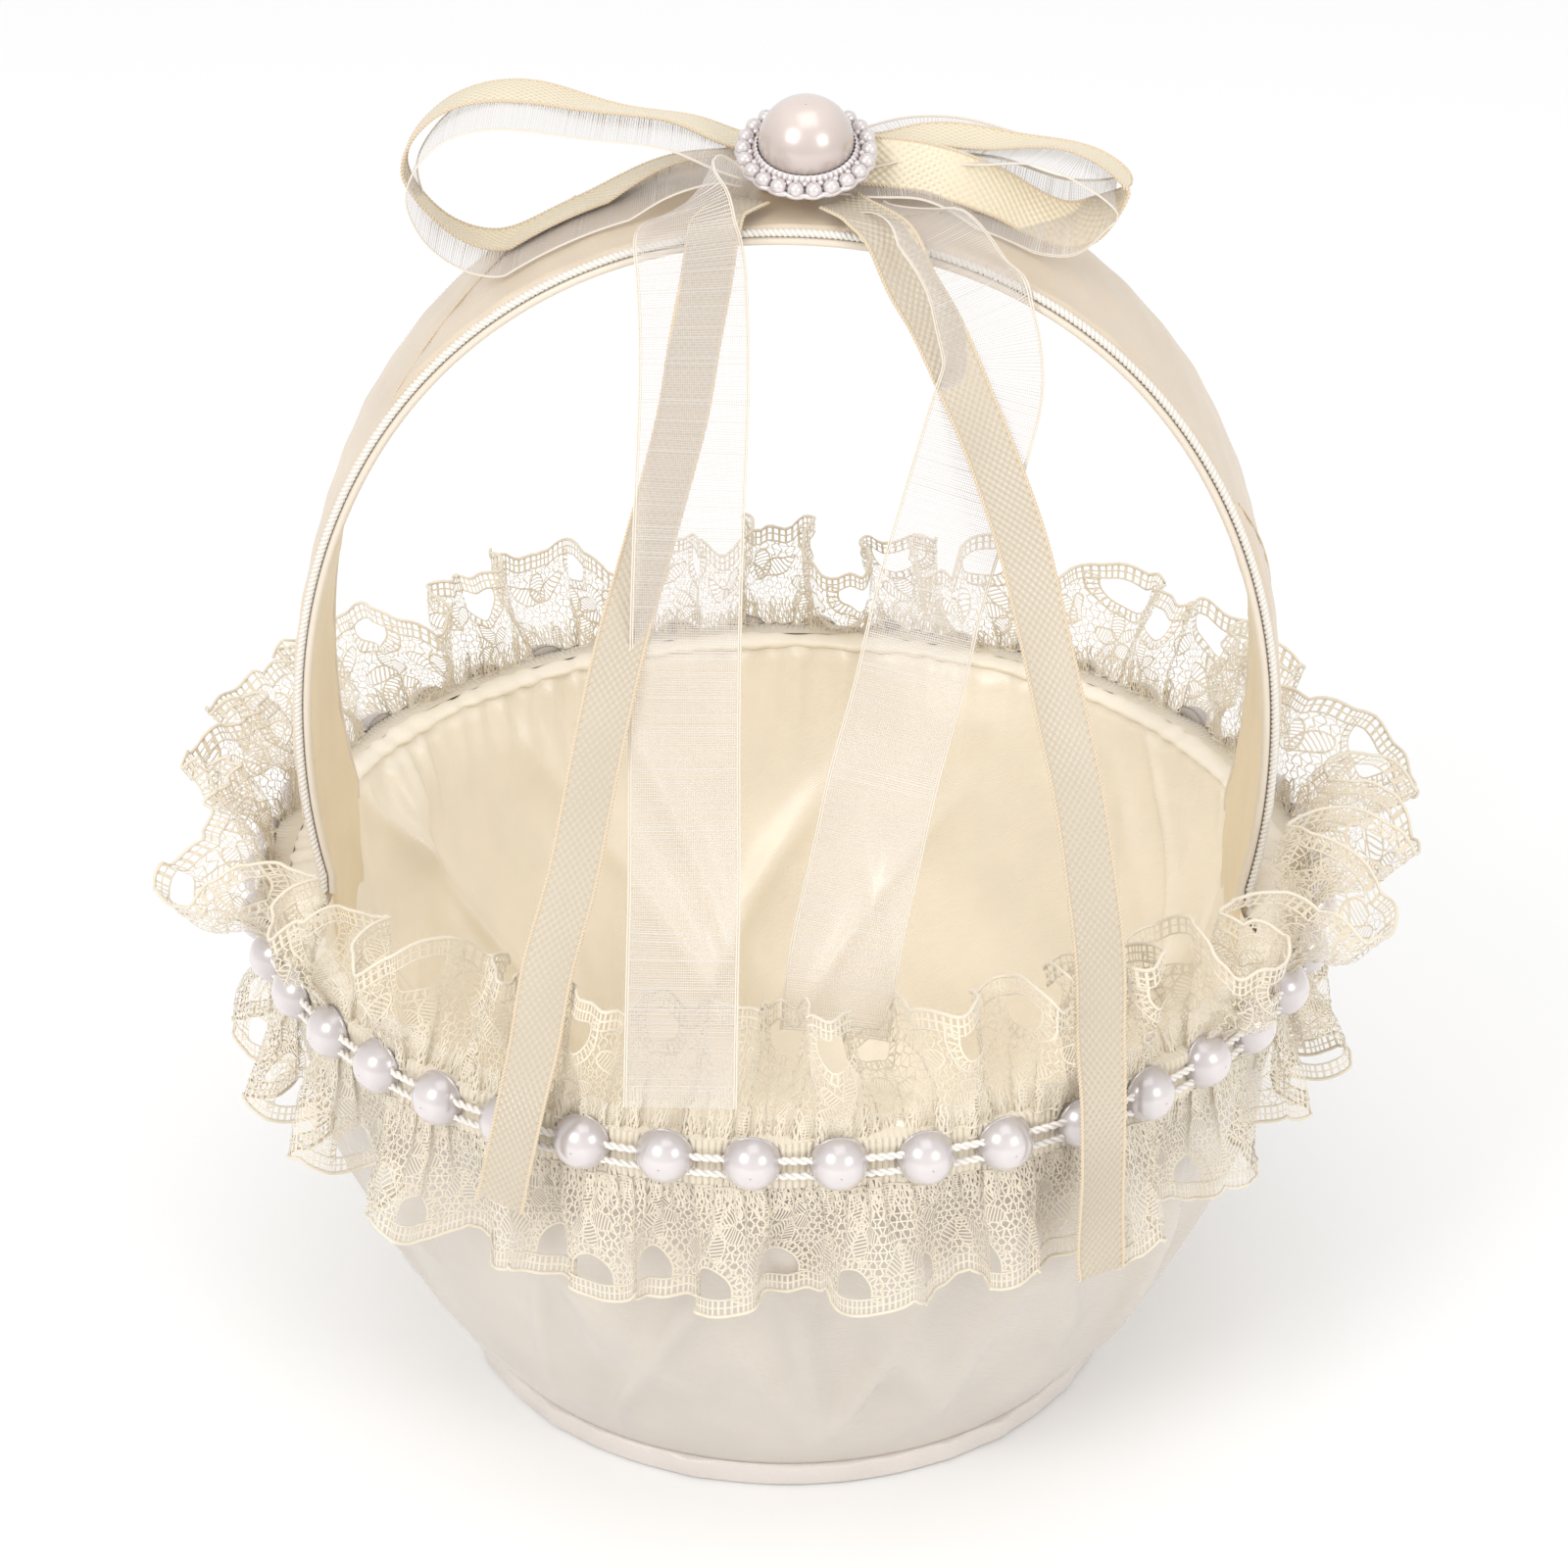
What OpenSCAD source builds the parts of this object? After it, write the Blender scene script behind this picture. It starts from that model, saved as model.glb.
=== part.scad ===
// Flower girl basket: a satin-covered bowl with a gathered lace ruffle and a
// string of half pearls at its rim, a satin-wrapped hoop handle with corded
// edges, and a ribbon bow with four tails under a pearl brooch.
// Millimetres. +Z is up, the handle's hoop lies along X, the front faces -Y,
// and the origin is the middle of the underside of the base.

/* [Bowl] */
// Radius of the satin at the rim
rim_r = 74.5; // [73:0.5:77]
// Height of the bowl's rim above the table
rim_z = 78; // [76:1:84]
// Radius of the base disc
base_r = 50; // [46:1:54]
// Thickness of the base disc
base_t = 3.8; // [3:0.1:5]
// How full the bowl's side is
fullness = 1.8; // [1.5:0.1:2.2]

/* [Handle] */
// Half of the hoop's width, at the middle of the strip
hoop_a = 69; // [66:0.5:69.5]
// Rise of the hoop above its widest point
hoop_b = 78; // [70:0.5:85]
// Height of the hoop's widest point
hoop_z = 104; // [100:1:110]
// How square the hoop's shoulders are, where 2 is an ellipse
hoop_power = 2.1; // [2:0.05:2.4]
// Width of the satin-wrapped band
band_w = 28; // [24:1:30]

/* [Trim] */
// Number of half pearls round the rim
pearl_count = 42; // [36:1:46]
// Diameter of a half pearl
pearl_d = 8; // [6:0.5:9]
// Height of the pearl string
pearl_z = 75.5; // [74:0.5:77]
// Width of each lace ruffle
lace_w = 21; // [16:1:22]

/* [Ribbons] */
// Width of the sheer ribbon
sheer_w = 15; // [12:1:16]
// Width of the satin ribbon
satin_w = 7; // [6:0.5:8]

/* [Brooch] */
// Diameter of the brooch's large pearl
dome_d = 13; // [11:0.5:14]
// Number of small beads round the brooch
bead_count = 22; // [18:1:22]

/* [Hidden] */
$fn = 96;
eps = 0.02;

// Layer thicknesses, measured level
cover_t = 0.8;
core_t = 1.5;
lining_t = 0.8;
wall_steps = 16;

// Handle strip, its satin wrap and the cords on its edges
core_strip_t = 1.6;
core_strip_w = band_w - 1.2;
wrap_t = 2.6;
piping_r = 1;
foot_top = rim_z + 4;
foot_end = 45;
foot_angle = -asin(pow((hoop_z - foot_top) / hoop_b, hoop_power / 2));
foot_x = hoop_a * hoop_curve(cos(foot_angle));
hoop_steps = 48;

// The lining's pockets over the handle's feet
pocket_half_w = band_w / 2 + 3.2;
pocket_low = foot_end - 4;
pocket_x = foot_x - wrap_t / 2 - lining_t;

top_z = hoop_z + hoop_b + wrap_t / 2;

// Hot-melt glue behind the handle's feet
glue_half_w = 10;
glue_low = foot_end + 5;
glue_h = 24;

// Rim trim
heading_t = 2.8;
heading_r = rim_r + heading_t;
heading_low = pearl_z - 4;
heading_high = rim_z;
ruffle_t = 1.6;
lean_sides = 36;
lean_front = -30;
lean_back = -7;
lower_lean = 8;
thread_r = 0.45;
thread_gap = 1.2;
thread_ring_r = heading_r + 1.3;

// Ribbons
ribbon_t = 0.5;
path_steps = 4;
knot_r = 5.4;
knot_h = 9;

// Brooch
brooch_tilt = 20;
brooch_at = [2.5, -3, top_z + 5.4];
plate_r = 8.6;
plate_t = 1;
collar_t = 0.8;
collar_h = 2.4;
bead_r = 1.15;
bead_ring_r = 8.4;

satin_colour = "ivory";
cream_colour = "antiquewhite";
lace_colour = "cornsilk";
pearl_colour = "whitesmoke";

// Outer radius of the satin at height z
function bowl_r(z) = base_r + (rim_r - base_r) * (1 - pow(1 - z / rim_z, fullness));

// Heights at which the bowl's side is drawn, from the one given up to the rim
function wall_heights(low) = [for (i = [0:wall_steps]) low + (rim_z - low) * i / wall_steps];

// The bowl's outline pulled in by inset, from height low up to the rim, as a solid
module bowl_solid(inset, low) {
    rotate_extrude()
        polygon(concat([[0, rim_z], [0, low]], [for (z = wall_heights(low)) [bowl_r(z) - inset, z]]));
}

// A skin of thickness t whose outside is inset from the satin's outline, with a floor of thickness floor_t
module bowl_skin(inset, t, low, floor_t) {
    rotate_extrude()
        polygon(concat(
            [[0, low]],
            [for (z = wall_heights(low)) [bowl_r(z) - inset, z]],
            [for (i = [wall_steps:-1:0])
                let (z = wall_heights(low + floor_t)[i]) [bowl_r(z) - inset - t, z]],
            [[0, low + floor_t]]
        ));
}

// ---------- bowl ----------

module base_disc() {
    color(satin_colour)
        rotate_extrude()
            polygon([[0, 0], [base_r - 0.6, 0], [base_r, 0.6], [base_r, base_t - 0.6],
                     [base_r - 0.6, base_t], [0, base_t]]);
}

module bowl_core() {
    color("white") bowl_skin(cover_t, core_t, base_t + cover_t, core_t);
}

module outer_cover() {
    color(satin_colour) bowl_skin(0, cover_t, base_t, cover_t);
}

// The box that a handle foot's pocket fills, pulled in by inset on the sides that face the bowl
module pocket_box(side, inset) {
    x0 = pocket_x + inset;
    half_w = pocket_half_w - inset;
    low = pocket_low + inset;
    high = rim_z + (inset > 0 ? 1 : 0);
    translate([side > 0 ? x0 : -rim_r, -half_w, low]) cube([rim_r - x0, 2 * half_w, high - low]);
}

module lining() {
    inset = cover_t + core_t;
    color(cream_colour)
        difference() {
            union() {
                bowl_skin(inset, lining_t, base_t + cover_t + core_t, lining_t);
                for (side = [-1, 1])
                    intersection() {
                        pocket_box(side, 0);
                        bowl_solid(inset, base_t + 4);
                    }
            }
            for (side = [-1, 1]) pocket_box(side, lining_t);
        }
}

module rim_roll() {
    roll_in = rim_r - cover_t - core_t - lining_t;
    roll_r = (rim_r - roll_in) / 2;
    color(cream_colour)
        rotate_extrude()
            translate([roll_in + roll_r, rim_z])
                intersection() {
                    circle(r = roll_r, $fn = 32);
                    translate([-roll_r, 0]) square([2 * roll_r, roll_r]);
                }
}

// ---------- lace and pearls ----------

module lace_heading() {
    color(lace_colour)
        rotate_extrude()
            translate([rim_r, heading_low])
                square([heading_t, heading_high - heading_low]);
}

// How far the upper ruffle leans outwards at the angle th round the rim
function upper_lean(th) =
    let (s = sin(th)) lean_sides * cos(th) * cos(th) + (s < 0 ? lean_front : lean_back) * s * s;

// A closed ring that holds the space of the upper ruffle, which leans in at the front
// and out at the sides
module upper_ruffle() {
    steps = 72;
    foot_r = heading_r - ruffle_t;
    rings = [for (i = [0:steps - 1])
        let (th = 360 * i / steps, lean = upper_lean(th),
             r_top = foot_r + lace_w * sin(lean), z_top = heading_high + eps + lace_w * cos(lean))
        for (c = [[foot_r, heading_high + eps], [foot_r + ruffle_t, heading_high + eps],
                  [r_top + ruffle_t, z_top], [r_top, z_top]])
            [c[0] * cos(th), c[0] * sin(th), c[1]]];
    faces = [for (i = [0:steps - 1], k = [0:3])
        let (j = (i + 1) % steps, m = (k + 1) % 4)
        each [[4 * i + k, 4 * i + m, 4 * j + k], [4 * i + m, 4 * j + m, 4 * j + k]]];
    color(lace_colour) polyhedron(rings, faces);
}

module lower_ruffle() {
    foot_r = heading_r - ruffle_t;
    run = lace_w * sin(lower_lean);
    drop = lace_w * cos(lower_lean);
    z0 = heading_low - eps;
    color(lace_colour)
        rotate_extrude()
            polygon([[foot_r, z0], [foot_r + run, z0 - drop],
                     [foot_r + run + ruffle_t, z0 - drop], [foot_r + ruffle_t, z0]]);
}

// A dome with a flat back at x = 0, drilled across for its two threads
module half_pearl() {
    difference() {
        sphere(d = pearl_d, $fn = 32);
        translate([-pearl_d, -pearl_d / 2, -pearl_d / 2]) cube([pearl_d, pearl_d, pearl_d]);
        for (up = [-1, 1])
            translate([thread_ring_r - heading_r - 0.1, 0, up * thread_gap])
                rotate([90, 0, 0]) cylinder(r = thread_r + 0.15, h = pearl_d + 1, center = true, $fn = 24);
    }
}

module pearl_beads() {
    color(pearl_colour)
        for (i = [0:pearl_count - 1])
            rotate([0, 0, -90 + (i + 0.77) * 360 / pearl_count])
                translate([heading_r + 0.1, 0, pearl_z]) half_pearl();
}

module thread_ring(z) {
    color("white")
        rotate_extrude() translate([thread_ring_r, z]) circle(r = thread_r, $fn = 24);
}

module pearl_thread_upper() thread_ring(pearl_z + thread_gap);
module pearl_thread_lower() thread_ring(pearl_z - thread_gap);

// ---------- handle ----------

// A sine or cosine bent to the hoop's squarer curve
function hoop_curve(v) = sign(v) * pow(abs(v), 2 / hoop_power);

// The middle of the strip, as [x, z] points from the right foot over the top to the left foot
hoop_line = concat(
    [[foot_x, foot_end]],
    [for (i = [0:hoop_steps])
        let (t = foot_angle + (180 - 2 * foot_angle) * i / hoop_steps)
        [hoop_a * hoop_curve(cos(t)), hoop_z + hoop_b * hoop_curve(sin(t))]],
    [[-foot_x, foot_end]]
);

function unit(v) = v / norm(v);

// The left-hand normal of a flat line at its i-th point
function side_of(line, i) =
    let (n = len(line) - 1, d = unit(line[min(i + 1, n)] - line[max(i - 1, 0)])) [-d[1], d[0]];

// A strip of thickness t and width w whose middle follows the hoop
module hoop_strip(t, w) {
    n = len(hoop_line) - 1;
    out = [for (i = [0:n]) hoop_line[i] - side_of(hoop_line, i) * t / 2];
    inner = [for (i = [n:-1:0]) hoop_line[i] + side_of(hoop_line, i) * t / 2];
    rotate([90, 0, 0])
        linear_extrude(height = w, center = true) polygon(concat(out, inner));
}

module handle_core() color("white") hoop_strip(core_strip_t, core_strip_w);

module handle_wrap() {
    color(satin_colour)
        difference() {
            hoop_strip(wrap_t, band_w);
            hoop_strip(core_strip_t, core_strip_w);
        }
}

// A round tube with flat ends along 3-D points that lie in one upright plane
module flat_tube(points, r, sides = 8) {
    n = len(points) - 1;
    rings = [for (i = [0:n])
        let (d = unit(points[min(i + 1, n)] - points[max(i - 1, 0)]),
             u = [0, 1, 0],
             v = cross(d, u))
        for (k = [0:sides - 1]) points[i] + r * (cos(360 * k / sides) * u + sin(360 * k / sides) * v)];
    walls = [for (i = [0:n - 1], k = [0:sides - 1])
        let (a = i * sides + k, b = i * sides + (k + 1) % sides)
        each [[a, b, a + sides], [b, b + sides, a + sides]]];
    caps = [[for (k = [sides - 1:-1:0]) k], [for (k = [0:sides - 1]) n * sides + k]];
    polyhedron(rings, concat(walls, caps));
}

module handle_piping(side) {
    y = side * (band_w / 2 + piping_r + 0.05);
    last = len(hoop_line) - 2;
    color(pearl_colour)
        flat_tube([for (i = [1:last]) [hoop_line[i][0], y, hoop_line[i][1]]], piping_r);
}

module handle_piping_front() handle_piping(-1);
module handle_piping_back() handle_piping(1);

// Hot-melt glue between each foot and the bowl's wall
module handle_glue_pads() {
    x0 = foot_x + wrap_t / 2 + eps;
    color("gainsboro")
        for (side = [-1, 1])
            intersection() {
                translate([side > 0 ? x0 : -rim_r, -glue_half_w, glue_low])
                    cube([rim_r - x0, 2 * glue_half_w, glue_h]);
                bowl_solid(cover_t + core_t + eps, base_t + 4);
            }
}

// ---------- ribbons ----------

// A point on the smooth curve through pts, between pts[i] and pts[i + 1]
function smooth_at(pts, i, t) =
    let (n = len(pts) - 1,
         p0 = pts[max(i - 1, 0)], p1 = pts[i], p2 = pts[i + 1], p3 = pts[min(i + 2, n)])
    0.5 * (2 * p1 + (p2 - p0) * t + (2 * p0 - 5 * p1 + 4 * p2 - p3) * t * t
           + (3 * p1 - p0 - 3 * p2 + p3) * t * t * t);

function smooth(pts) = concat(
    [for (i = [0:len(pts) - 2], k = [0:path_steps - 1]) smooth_at(pts, i, k / path_steps)],
    [pts[len(pts) - 1]]
);

// A flat ribbon of width w: route holds [point, direction of its width] pairs
module ribbon(route, w, t = ribbon_t) {
    line = smooth([for (r = route) r[0]]);
    wide = smooth([for (r = route) r[1]]);
    n = len(line) - 1;
    rings = [for (i = [0:n])
        let (d = unit(line[min(i + 1, n)] - line[max(i - 1, 0)]),
             u = unit(wide[i] - (wide[i] * d) * d),
             v = cross(d, u))
        each [line[i] + u * w / 2 + v * t / 2, line[i] - u * w / 2 + v * t / 2,
              line[i] - u * w / 2 - v * t / 2, line[i] + u * w / 2 - v * t / 2]];
    walls = [for (i = [0:n - 1], k = [0:3])
        let (a = i * 4 + k, b = i * 4 + (k + 1) % 4)
        each [[a, b, a + 4], [b, b + 4, a + 4]]];
    caps = [[3, 2, 1, 0], [for (k = [0:3]) n * 4 + k]];
    polyhedron(rings, concat(walls, [for (c = caps) each [[c[0], c[1], c[2]], [c[0], c[2], c[3]]]]));
}

across = [0, 1, 0];

sheer_loop_left_route = [
    [[-6, 0, 187.5], across], [[-20, 0, 191.5], across], [[-35, 0, 194.5], across],
    [[-46, 0, 192], across], [[-52, 0, 184.5], across], [[-49, 0, 176.5], across],
    [[-40, 0, 173], across], [[-28, 0, 177.5], across], [[-16, 0, 184], across], [[-6, 0, 186.2], across]
];
satin_loop_left_route = [
    [[-6, 4, 188.6], across], [[-20, 4, 192.6], across], [[-35, 4, 195.6], across],
    [[-46.8, 4, 193], across], [[-53.2, 4, 184.6], across], [[-50, 4, 175.8], across],
    [[-40, 4, 171.9], across], [[-28, 4, 176.4], across], [[-16, 4, 182.9], across], [[-6, 4, 185.2], across]
];
sheer_loop_right_route = [
    [[6, 0, 187.5], across], [[18, 0, 189], across], [[30, 0, 188], across],
    [[39, 0, 186], across], [[44.5, 0, 182.5], across], [[39, 0, 179], across],
    [[29, 0, 178.5], across], [[17, 0, 183], across], [[6, 0, 186.2], across]
];
satin_loop_right_route = [
    [[6, 4, 188.6], across], [[18, 4, 190.1], across], [[30, 4, 189.1], across],
    [[39.6, 4, 187.1], across], [[45.8, 4, 182.5], across], [[39.5, 4, 177.9], across],
    [[29, 4, 177.3], across], [[17, 4, 181.9], across], [[6, 4, 185.2], across]
];
sheer_tail_left_route = [
    [[-5, -8, 184.8], [1, 0.1, 0]], [[-9.5, -12, 184.6], [1, 0, 0]], [[-12, -16, 183], [1, 0, 0]],
    [[-12, -19, 177], [1, 0, 0]], [[-12, -24, 164], [1, 0, 0]], [[-12.5, -34, 146], [1, 0.1, 0]],
    [[-12.5, -48, 126], [1, 0, 0]],
    [[-12, -61, 110], [1, 0, 0]], [[-12, -69, 101], [1, 0, 0]], [[-12, -75, 93], [1, 0, 0]],
    [[-12, -79, 85], [1, 0, 0]]
];
satin_tail_left_route = [
    [[-5, -8, 184], [1, 0.1, 0]], [[-8, -12, 183.9], [1, 0, 0]], [[-9.5, -15.6, 182.9], [1, 0, 0]],
    [[-10.5, -18, 177], [1, 0, 0]], [[-12, -20.5, 169], [1, 0, 0.1]], [[-13.5, -24, 160], [1, 0, 0.2]],
    [[-16, -29, 151], [1, 0, 0.2]], [[-18.5, -34.5, 143], [1, 0, 0.2]], [[-21, -41, 135], [1, 0, 0.2]],
    [[-23, -48, 127], [1, 0, 0.2]], [[-25, -55, 118], [1, 0, 0.2]], [[-27, -61.5, 109], [1, 0, 0.2]],
    [[-30, -67, 99], [1, -0.1, 0.1]], [[-31.5, -72.5, 90.5], [1, -0.3, 0]], [[-33, -76, 84], [1, -0.4, 0]],
    [[-35, -77.3, 75], [1, -0.4, 0]], [[-36.5, -77, 68], [1, -0.4, 0]]
];
satin_tail_right_route = [
    [[7, -9, 185], [1, 0.3, 0]], [[13.6, -16, 183], [1, 0.2, 0]], [[17, -18.5, 177], [1, 0, 0]],
    [[20.5, -20.5, 171.5], [1, 0, 0]], [[24.5, -24, 163.5], [1, 0, -0.2]], [[28.5, -29, 155.5], [1, 0, -0.2]],
    [[32, -35.5, 147.5], [1, 0, -0.2]], [[35, -43, 138], [1, 0, -0.2]], [[37.5, -49, 129], [1, 0, -0.2]],
    [[40, -54.5, 119], [1, 0.1, -0.1]], [[42, -59, 107.5], [1, 0.2, 0]], [[43.3, -62, 97.5], [1, 0.3, 0]],
    [[43.7, -66.5, 89], [1, 0.4, 0]], [[44, -70, 82.5], [1, 0.5, 0]], [[44, -71.7, 75], [1, 0.5, 0]],
    [[44.3, -71.7, 65], [1, 0.5, 0]], [[44.7, -71, 54], [1, 0.5, 0]]
];
sheer_tail_right_route = [
    [[11.5, -9, 184], [1, 0.3, -0.1]], [[19, -13, 183], [1, 0.3, -0.3]], [[25, -18, 176], [1, 0.2, -0.6]],
    [[28, -21, 167], [0.9, 0.3, -0.3]], [[26, -26, 158], [1, 0.2, 0.2]], [[21, -34, 142], [1, 0, 0.3]],
    [[15, -46, 120], [1, 0, 0.3]], [[11, -55, 105], [1, 0, 0.3]], [[9, -60, 95], [1, 0, 0.2]],
    [[8, -62, 86], [1, 0, 0.1]]
];

module sheer_ribbon(route) color(cream_colour, 0.5) ribbon(route, sheer_w);
module satin_ribbon(route) color(cream_colour) ribbon(route, satin_w);

module sheer_loop_left() sheer_ribbon(sheer_loop_left_route);
module sheer_loop_right() sheer_ribbon(sheer_loop_right_route);
module satin_loop_left() satin_ribbon(satin_loop_left_route);
module satin_loop_right() satin_ribbon(satin_loop_right_route);
module sheer_tail_left() sheer_ribbon(sheer_tail_left_route);
module sheer_tail_right() sheer_ribbon(sheer_tail_right_route);
module satin_tail_left() satin_ribbon(satin_tail_left_route);
module satin_tail_right() satin_ribbon(satin_tail_right_route);

// The folded pad of ribbon between the handle and the brooch, cut off by the brooch's back
module bow_knot() {
    color(cream_colour)
        intersection() {
            translate([0, 0, top_z + 0.1]) cylinder(r = knot_r, h = knot_h);
            on_brooch() translate([-2 * knot_h, -2 * knot_h, -4 * knot_h - eps]) cube(4 * knot_h);
        }
}

// ---------- brooch ----------

module on_brooch() translate(brooch_at) rotate([brooch_tilt, 0, 0]) children();

module brooch_plate() {
    color("silver") on_brooch() cylinder(r = plate_r, h = plate_t);
}

module brooch_collar() {
    color("silver")
        on_brooch() translate([0, 0, plate_t])
            difference() {
                cylinder(r = dome_d / 2 + collar_t, h = collar_h - plate_t);
                translate([0, 0, -1]) cylinder(r = dome_d / 2 + eps, h = collar_h + 1);
            }
}

module brooch_beads() {
    color(pearl_colour)
        on_brooch()
            for (i = [0:bead_count - 1])
                rotate([0, 0, i * 360 / bead_count])
                    translate([bead_ring_r + 0.25, 0, plate_t + bead_r]) sphere(r = bead_r, $fn = 24);
}

module brooch_pearl() {
    color(pearl_colour)
        on_brooch()
            translate([0, 0, plate_t])
                intersection() {
                    translate([0, 0, 2]) sphere(d = dome_d);
                    cylinder(r = dome_d, h = dome_d);
                }
}

base_disc();
bowl_core();
outer_cover();
lining();
rim_roll();
lace_heading();
upper_ruffle();
lower_ruffle();
pearl_beads();
pearl_thread_upper();
pearl_thread_lower();
handle_core();
handle_wrap();
handle_piping_front();
handle_piping_back();
handle_glue_pads();
bow_knot();
sheer_loop_left();
sheer_loop_right();
satin_loop_left();
satin_loop_right();
sheer_tail_left();
sheer_tail_right();
satin_tail_left();
satin_tail_right();
brooch_plate();
brooch_collar();
brooch_beads();
brooch_pearl();
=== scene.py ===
import math

import bpy
import numpy as np
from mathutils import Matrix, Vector


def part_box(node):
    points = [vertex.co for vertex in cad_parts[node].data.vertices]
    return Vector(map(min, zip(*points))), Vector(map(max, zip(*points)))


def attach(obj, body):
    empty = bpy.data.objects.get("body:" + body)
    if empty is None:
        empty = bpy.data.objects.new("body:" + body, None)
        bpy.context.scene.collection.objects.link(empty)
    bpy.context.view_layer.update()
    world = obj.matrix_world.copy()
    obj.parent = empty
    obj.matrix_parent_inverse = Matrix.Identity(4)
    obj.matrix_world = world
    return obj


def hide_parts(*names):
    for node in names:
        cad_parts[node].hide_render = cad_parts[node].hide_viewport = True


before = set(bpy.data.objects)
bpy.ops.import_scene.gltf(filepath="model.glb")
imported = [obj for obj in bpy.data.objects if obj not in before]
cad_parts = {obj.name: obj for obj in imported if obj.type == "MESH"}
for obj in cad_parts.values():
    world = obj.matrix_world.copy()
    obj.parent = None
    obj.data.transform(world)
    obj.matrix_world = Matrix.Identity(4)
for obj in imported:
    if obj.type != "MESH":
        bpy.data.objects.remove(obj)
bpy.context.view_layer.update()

# Shapes are worked out in millimetres, in the CAD's own frame, and built in metres.
MM = 0.001
TAU = 2 * math.pi
FRONT = -math.pi / 2


def cad(node):
    """The lowest and highest corners of a CAD node, in millimetres."""
    low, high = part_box(node)
    return np.array(low) / MM, np.array(high) / MM


# ---------- camera ----------

CAMERA_LENS = 97
CAMERA_AWAY = 622
CAMERA_RAISED = math.radians(28.74)
CAMERA_ROUND = math.radians(1.65)
CAMERA_TARGET = np.array([-0.6, 0, 90.5])


def aim(thing, place, target):
    thing.location = Vector(place * MM)
    thing.rotation_euler = Vector(target - place).to_track_quat("-Z", "Y").to_euler()
    bpy.context.scene.collection.objects.link(thing)


def around(angle, raised, away, target):
    """A place at a distance from the target, angle radians round from the front and raised radians up."""
    out = [math.sin(angle) * math.cos(raised), -math.cos(angle) * math.cos(raised), math.sin(raised)]
    return target + away * np.array(out)


camera = bpy.data.objects.new("camera", bpy.data.cameras.new("camera"))
camera.data.lens = CAMERA_LENS
camera.data.sensor_width = 36
camera.data.clip_start = 0.01
aim(camera, around(CAMERA_ROUND, CAMERA_RAISED, CAMERA_AWAY, CAMERA_TARGET), CAMERA_TARGET)
bpy.context.scene.camera = camera

# ---------- sizes from the CAD ----------

BASE_R = cad("base_disc")[1][0]
BASE_T = cad("base_disc")[1][2]
RIM_R = cad("outer_cover")[1][0]
RIM_Z = cad("outer_cover")[1][2]
FULLNESS = 1.8
COVER_T = 0.8
SKINS_T = 3.1
HEADING_R = cad("lace_heading")[1][0]
HEADING_LOW = cad("lace_heading")[0][2]
HEADING_HIGH = cad("lace_heading")[1][2]
PEARL_COUNT = 42
PEARL_PHASE = 0.77
PEARL_R = 4
PEARL_Z = float(cad("pearl_beads")[0][2] + PEARL_R)
PEARL_BACK_R = float(cad("pearl_beads")[1][0] - PEARL_R)
THREAD_GAP = 1.2
THREAD_RING_R = HEADING_R + 1.3
HOOP_A = 69
HOOP_B = 78
HOOP_Z = 104
HOOP_POWER = 2.1
BAND_W = float(cad("handle_wrap")[1][1] * 2)
FOOT_LOW = float(cad("handle_wrap")[0][2])
PIPING_LOW = float(cad("handle_piping_front")[0][2]) + 0.5
WRAP_T = 2.6
LACE_W = 21
SHEER_W = 15
SATIN_W = 7
SATIN_T = 0.14
BROOCH_AT = np.array([2.5, -3, HOOP_Z + HOOP_B + WRAP_T / 2 + 5.4])
BROOCH_TILT = math.radians(20)
DOME_R = 6.5

# ---------- materials ----------


def principled(name, colour, **values):
    """A new material with one Principled shader, and its node tree and shader."""
    material = bpy.data.materials.new(name)
    material.use_nodes = True
    tree = material.node_tree
    shader = tree.nodes["Principled BSDF"]
    shader.inputs["Base Color"].default_value = (*colour, 1)
    for socket, value in values.items():
        shader.inputs[socket.replace("_", " ")].default_value = value
    return material, tree, shader


def cloth_places(tree):
    """The places that the mesh gives its points on its own cloth."""
    place = tree.nodes.new("ShaderNodeAttribute")
    place.attribute_name = "cloth"
    return place


def math_node(tree, operation):
    node = tree.nodes.new("ShaderNodeMath")
    node.operation = operation
    return node


def stripes(tree, across, along):
    """Fine waves over the cloth's own millimetres: across and along are turns per millimetre."""
    place = cloth_places(tree)
    dot = tree.nodes.new("ShaderNodeVectorMath")
    dot.operation = "DOT_PRODUCT"
    dot.inputs[1].default_value = (TAU * along, TAU * across, 0)
    tree.links.new(place.outputs["Vector"], dot.inputs[0])
    wave = math_node(tree, "SINE")
    tree.links.new(dot.outputs["Value"], wave.inputs[0])
    return wave.outputs[0]


def combine(tree, operation, *values):
    node = math_node(tree, operation)
    for socket, value in zip(node.inputs, values):
        if isinstance(value, (int, float)):
            socket.default_value = value
        else:
            tree.links.new(value, socket)
    return node.outputs[0]


def noise(tree, scale, detail=3):
    """Soft noise over the object's own space, where scale is cells per metre."""
    place = tree.nodes.new("ShaderNodeTexCoord")
    cloud = tree.nodes.new("ShaderNodeTexNoise")
    cloud.inputs["Scale"].default_value = scale
    cloud.inputs["Detail"].default_value = detail
    tree.links.new(place.outputs["Object"], cloud.inputs["Vector"])
    return cloud.outputs["Fac"]


def bump(tree, shader, height, depth, strength=1.0):
    node = tree.nodes.new("ShaderNodeBump")
    node.inputs["Strength"].default_value = strength
    node.inputs["Distance"].default_value = depth * MM
    tree.links.new(height, node.inputs["Height"])
    tree.links.new(node.outputs["Normal"], shader.inputs["Normal"])


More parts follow.
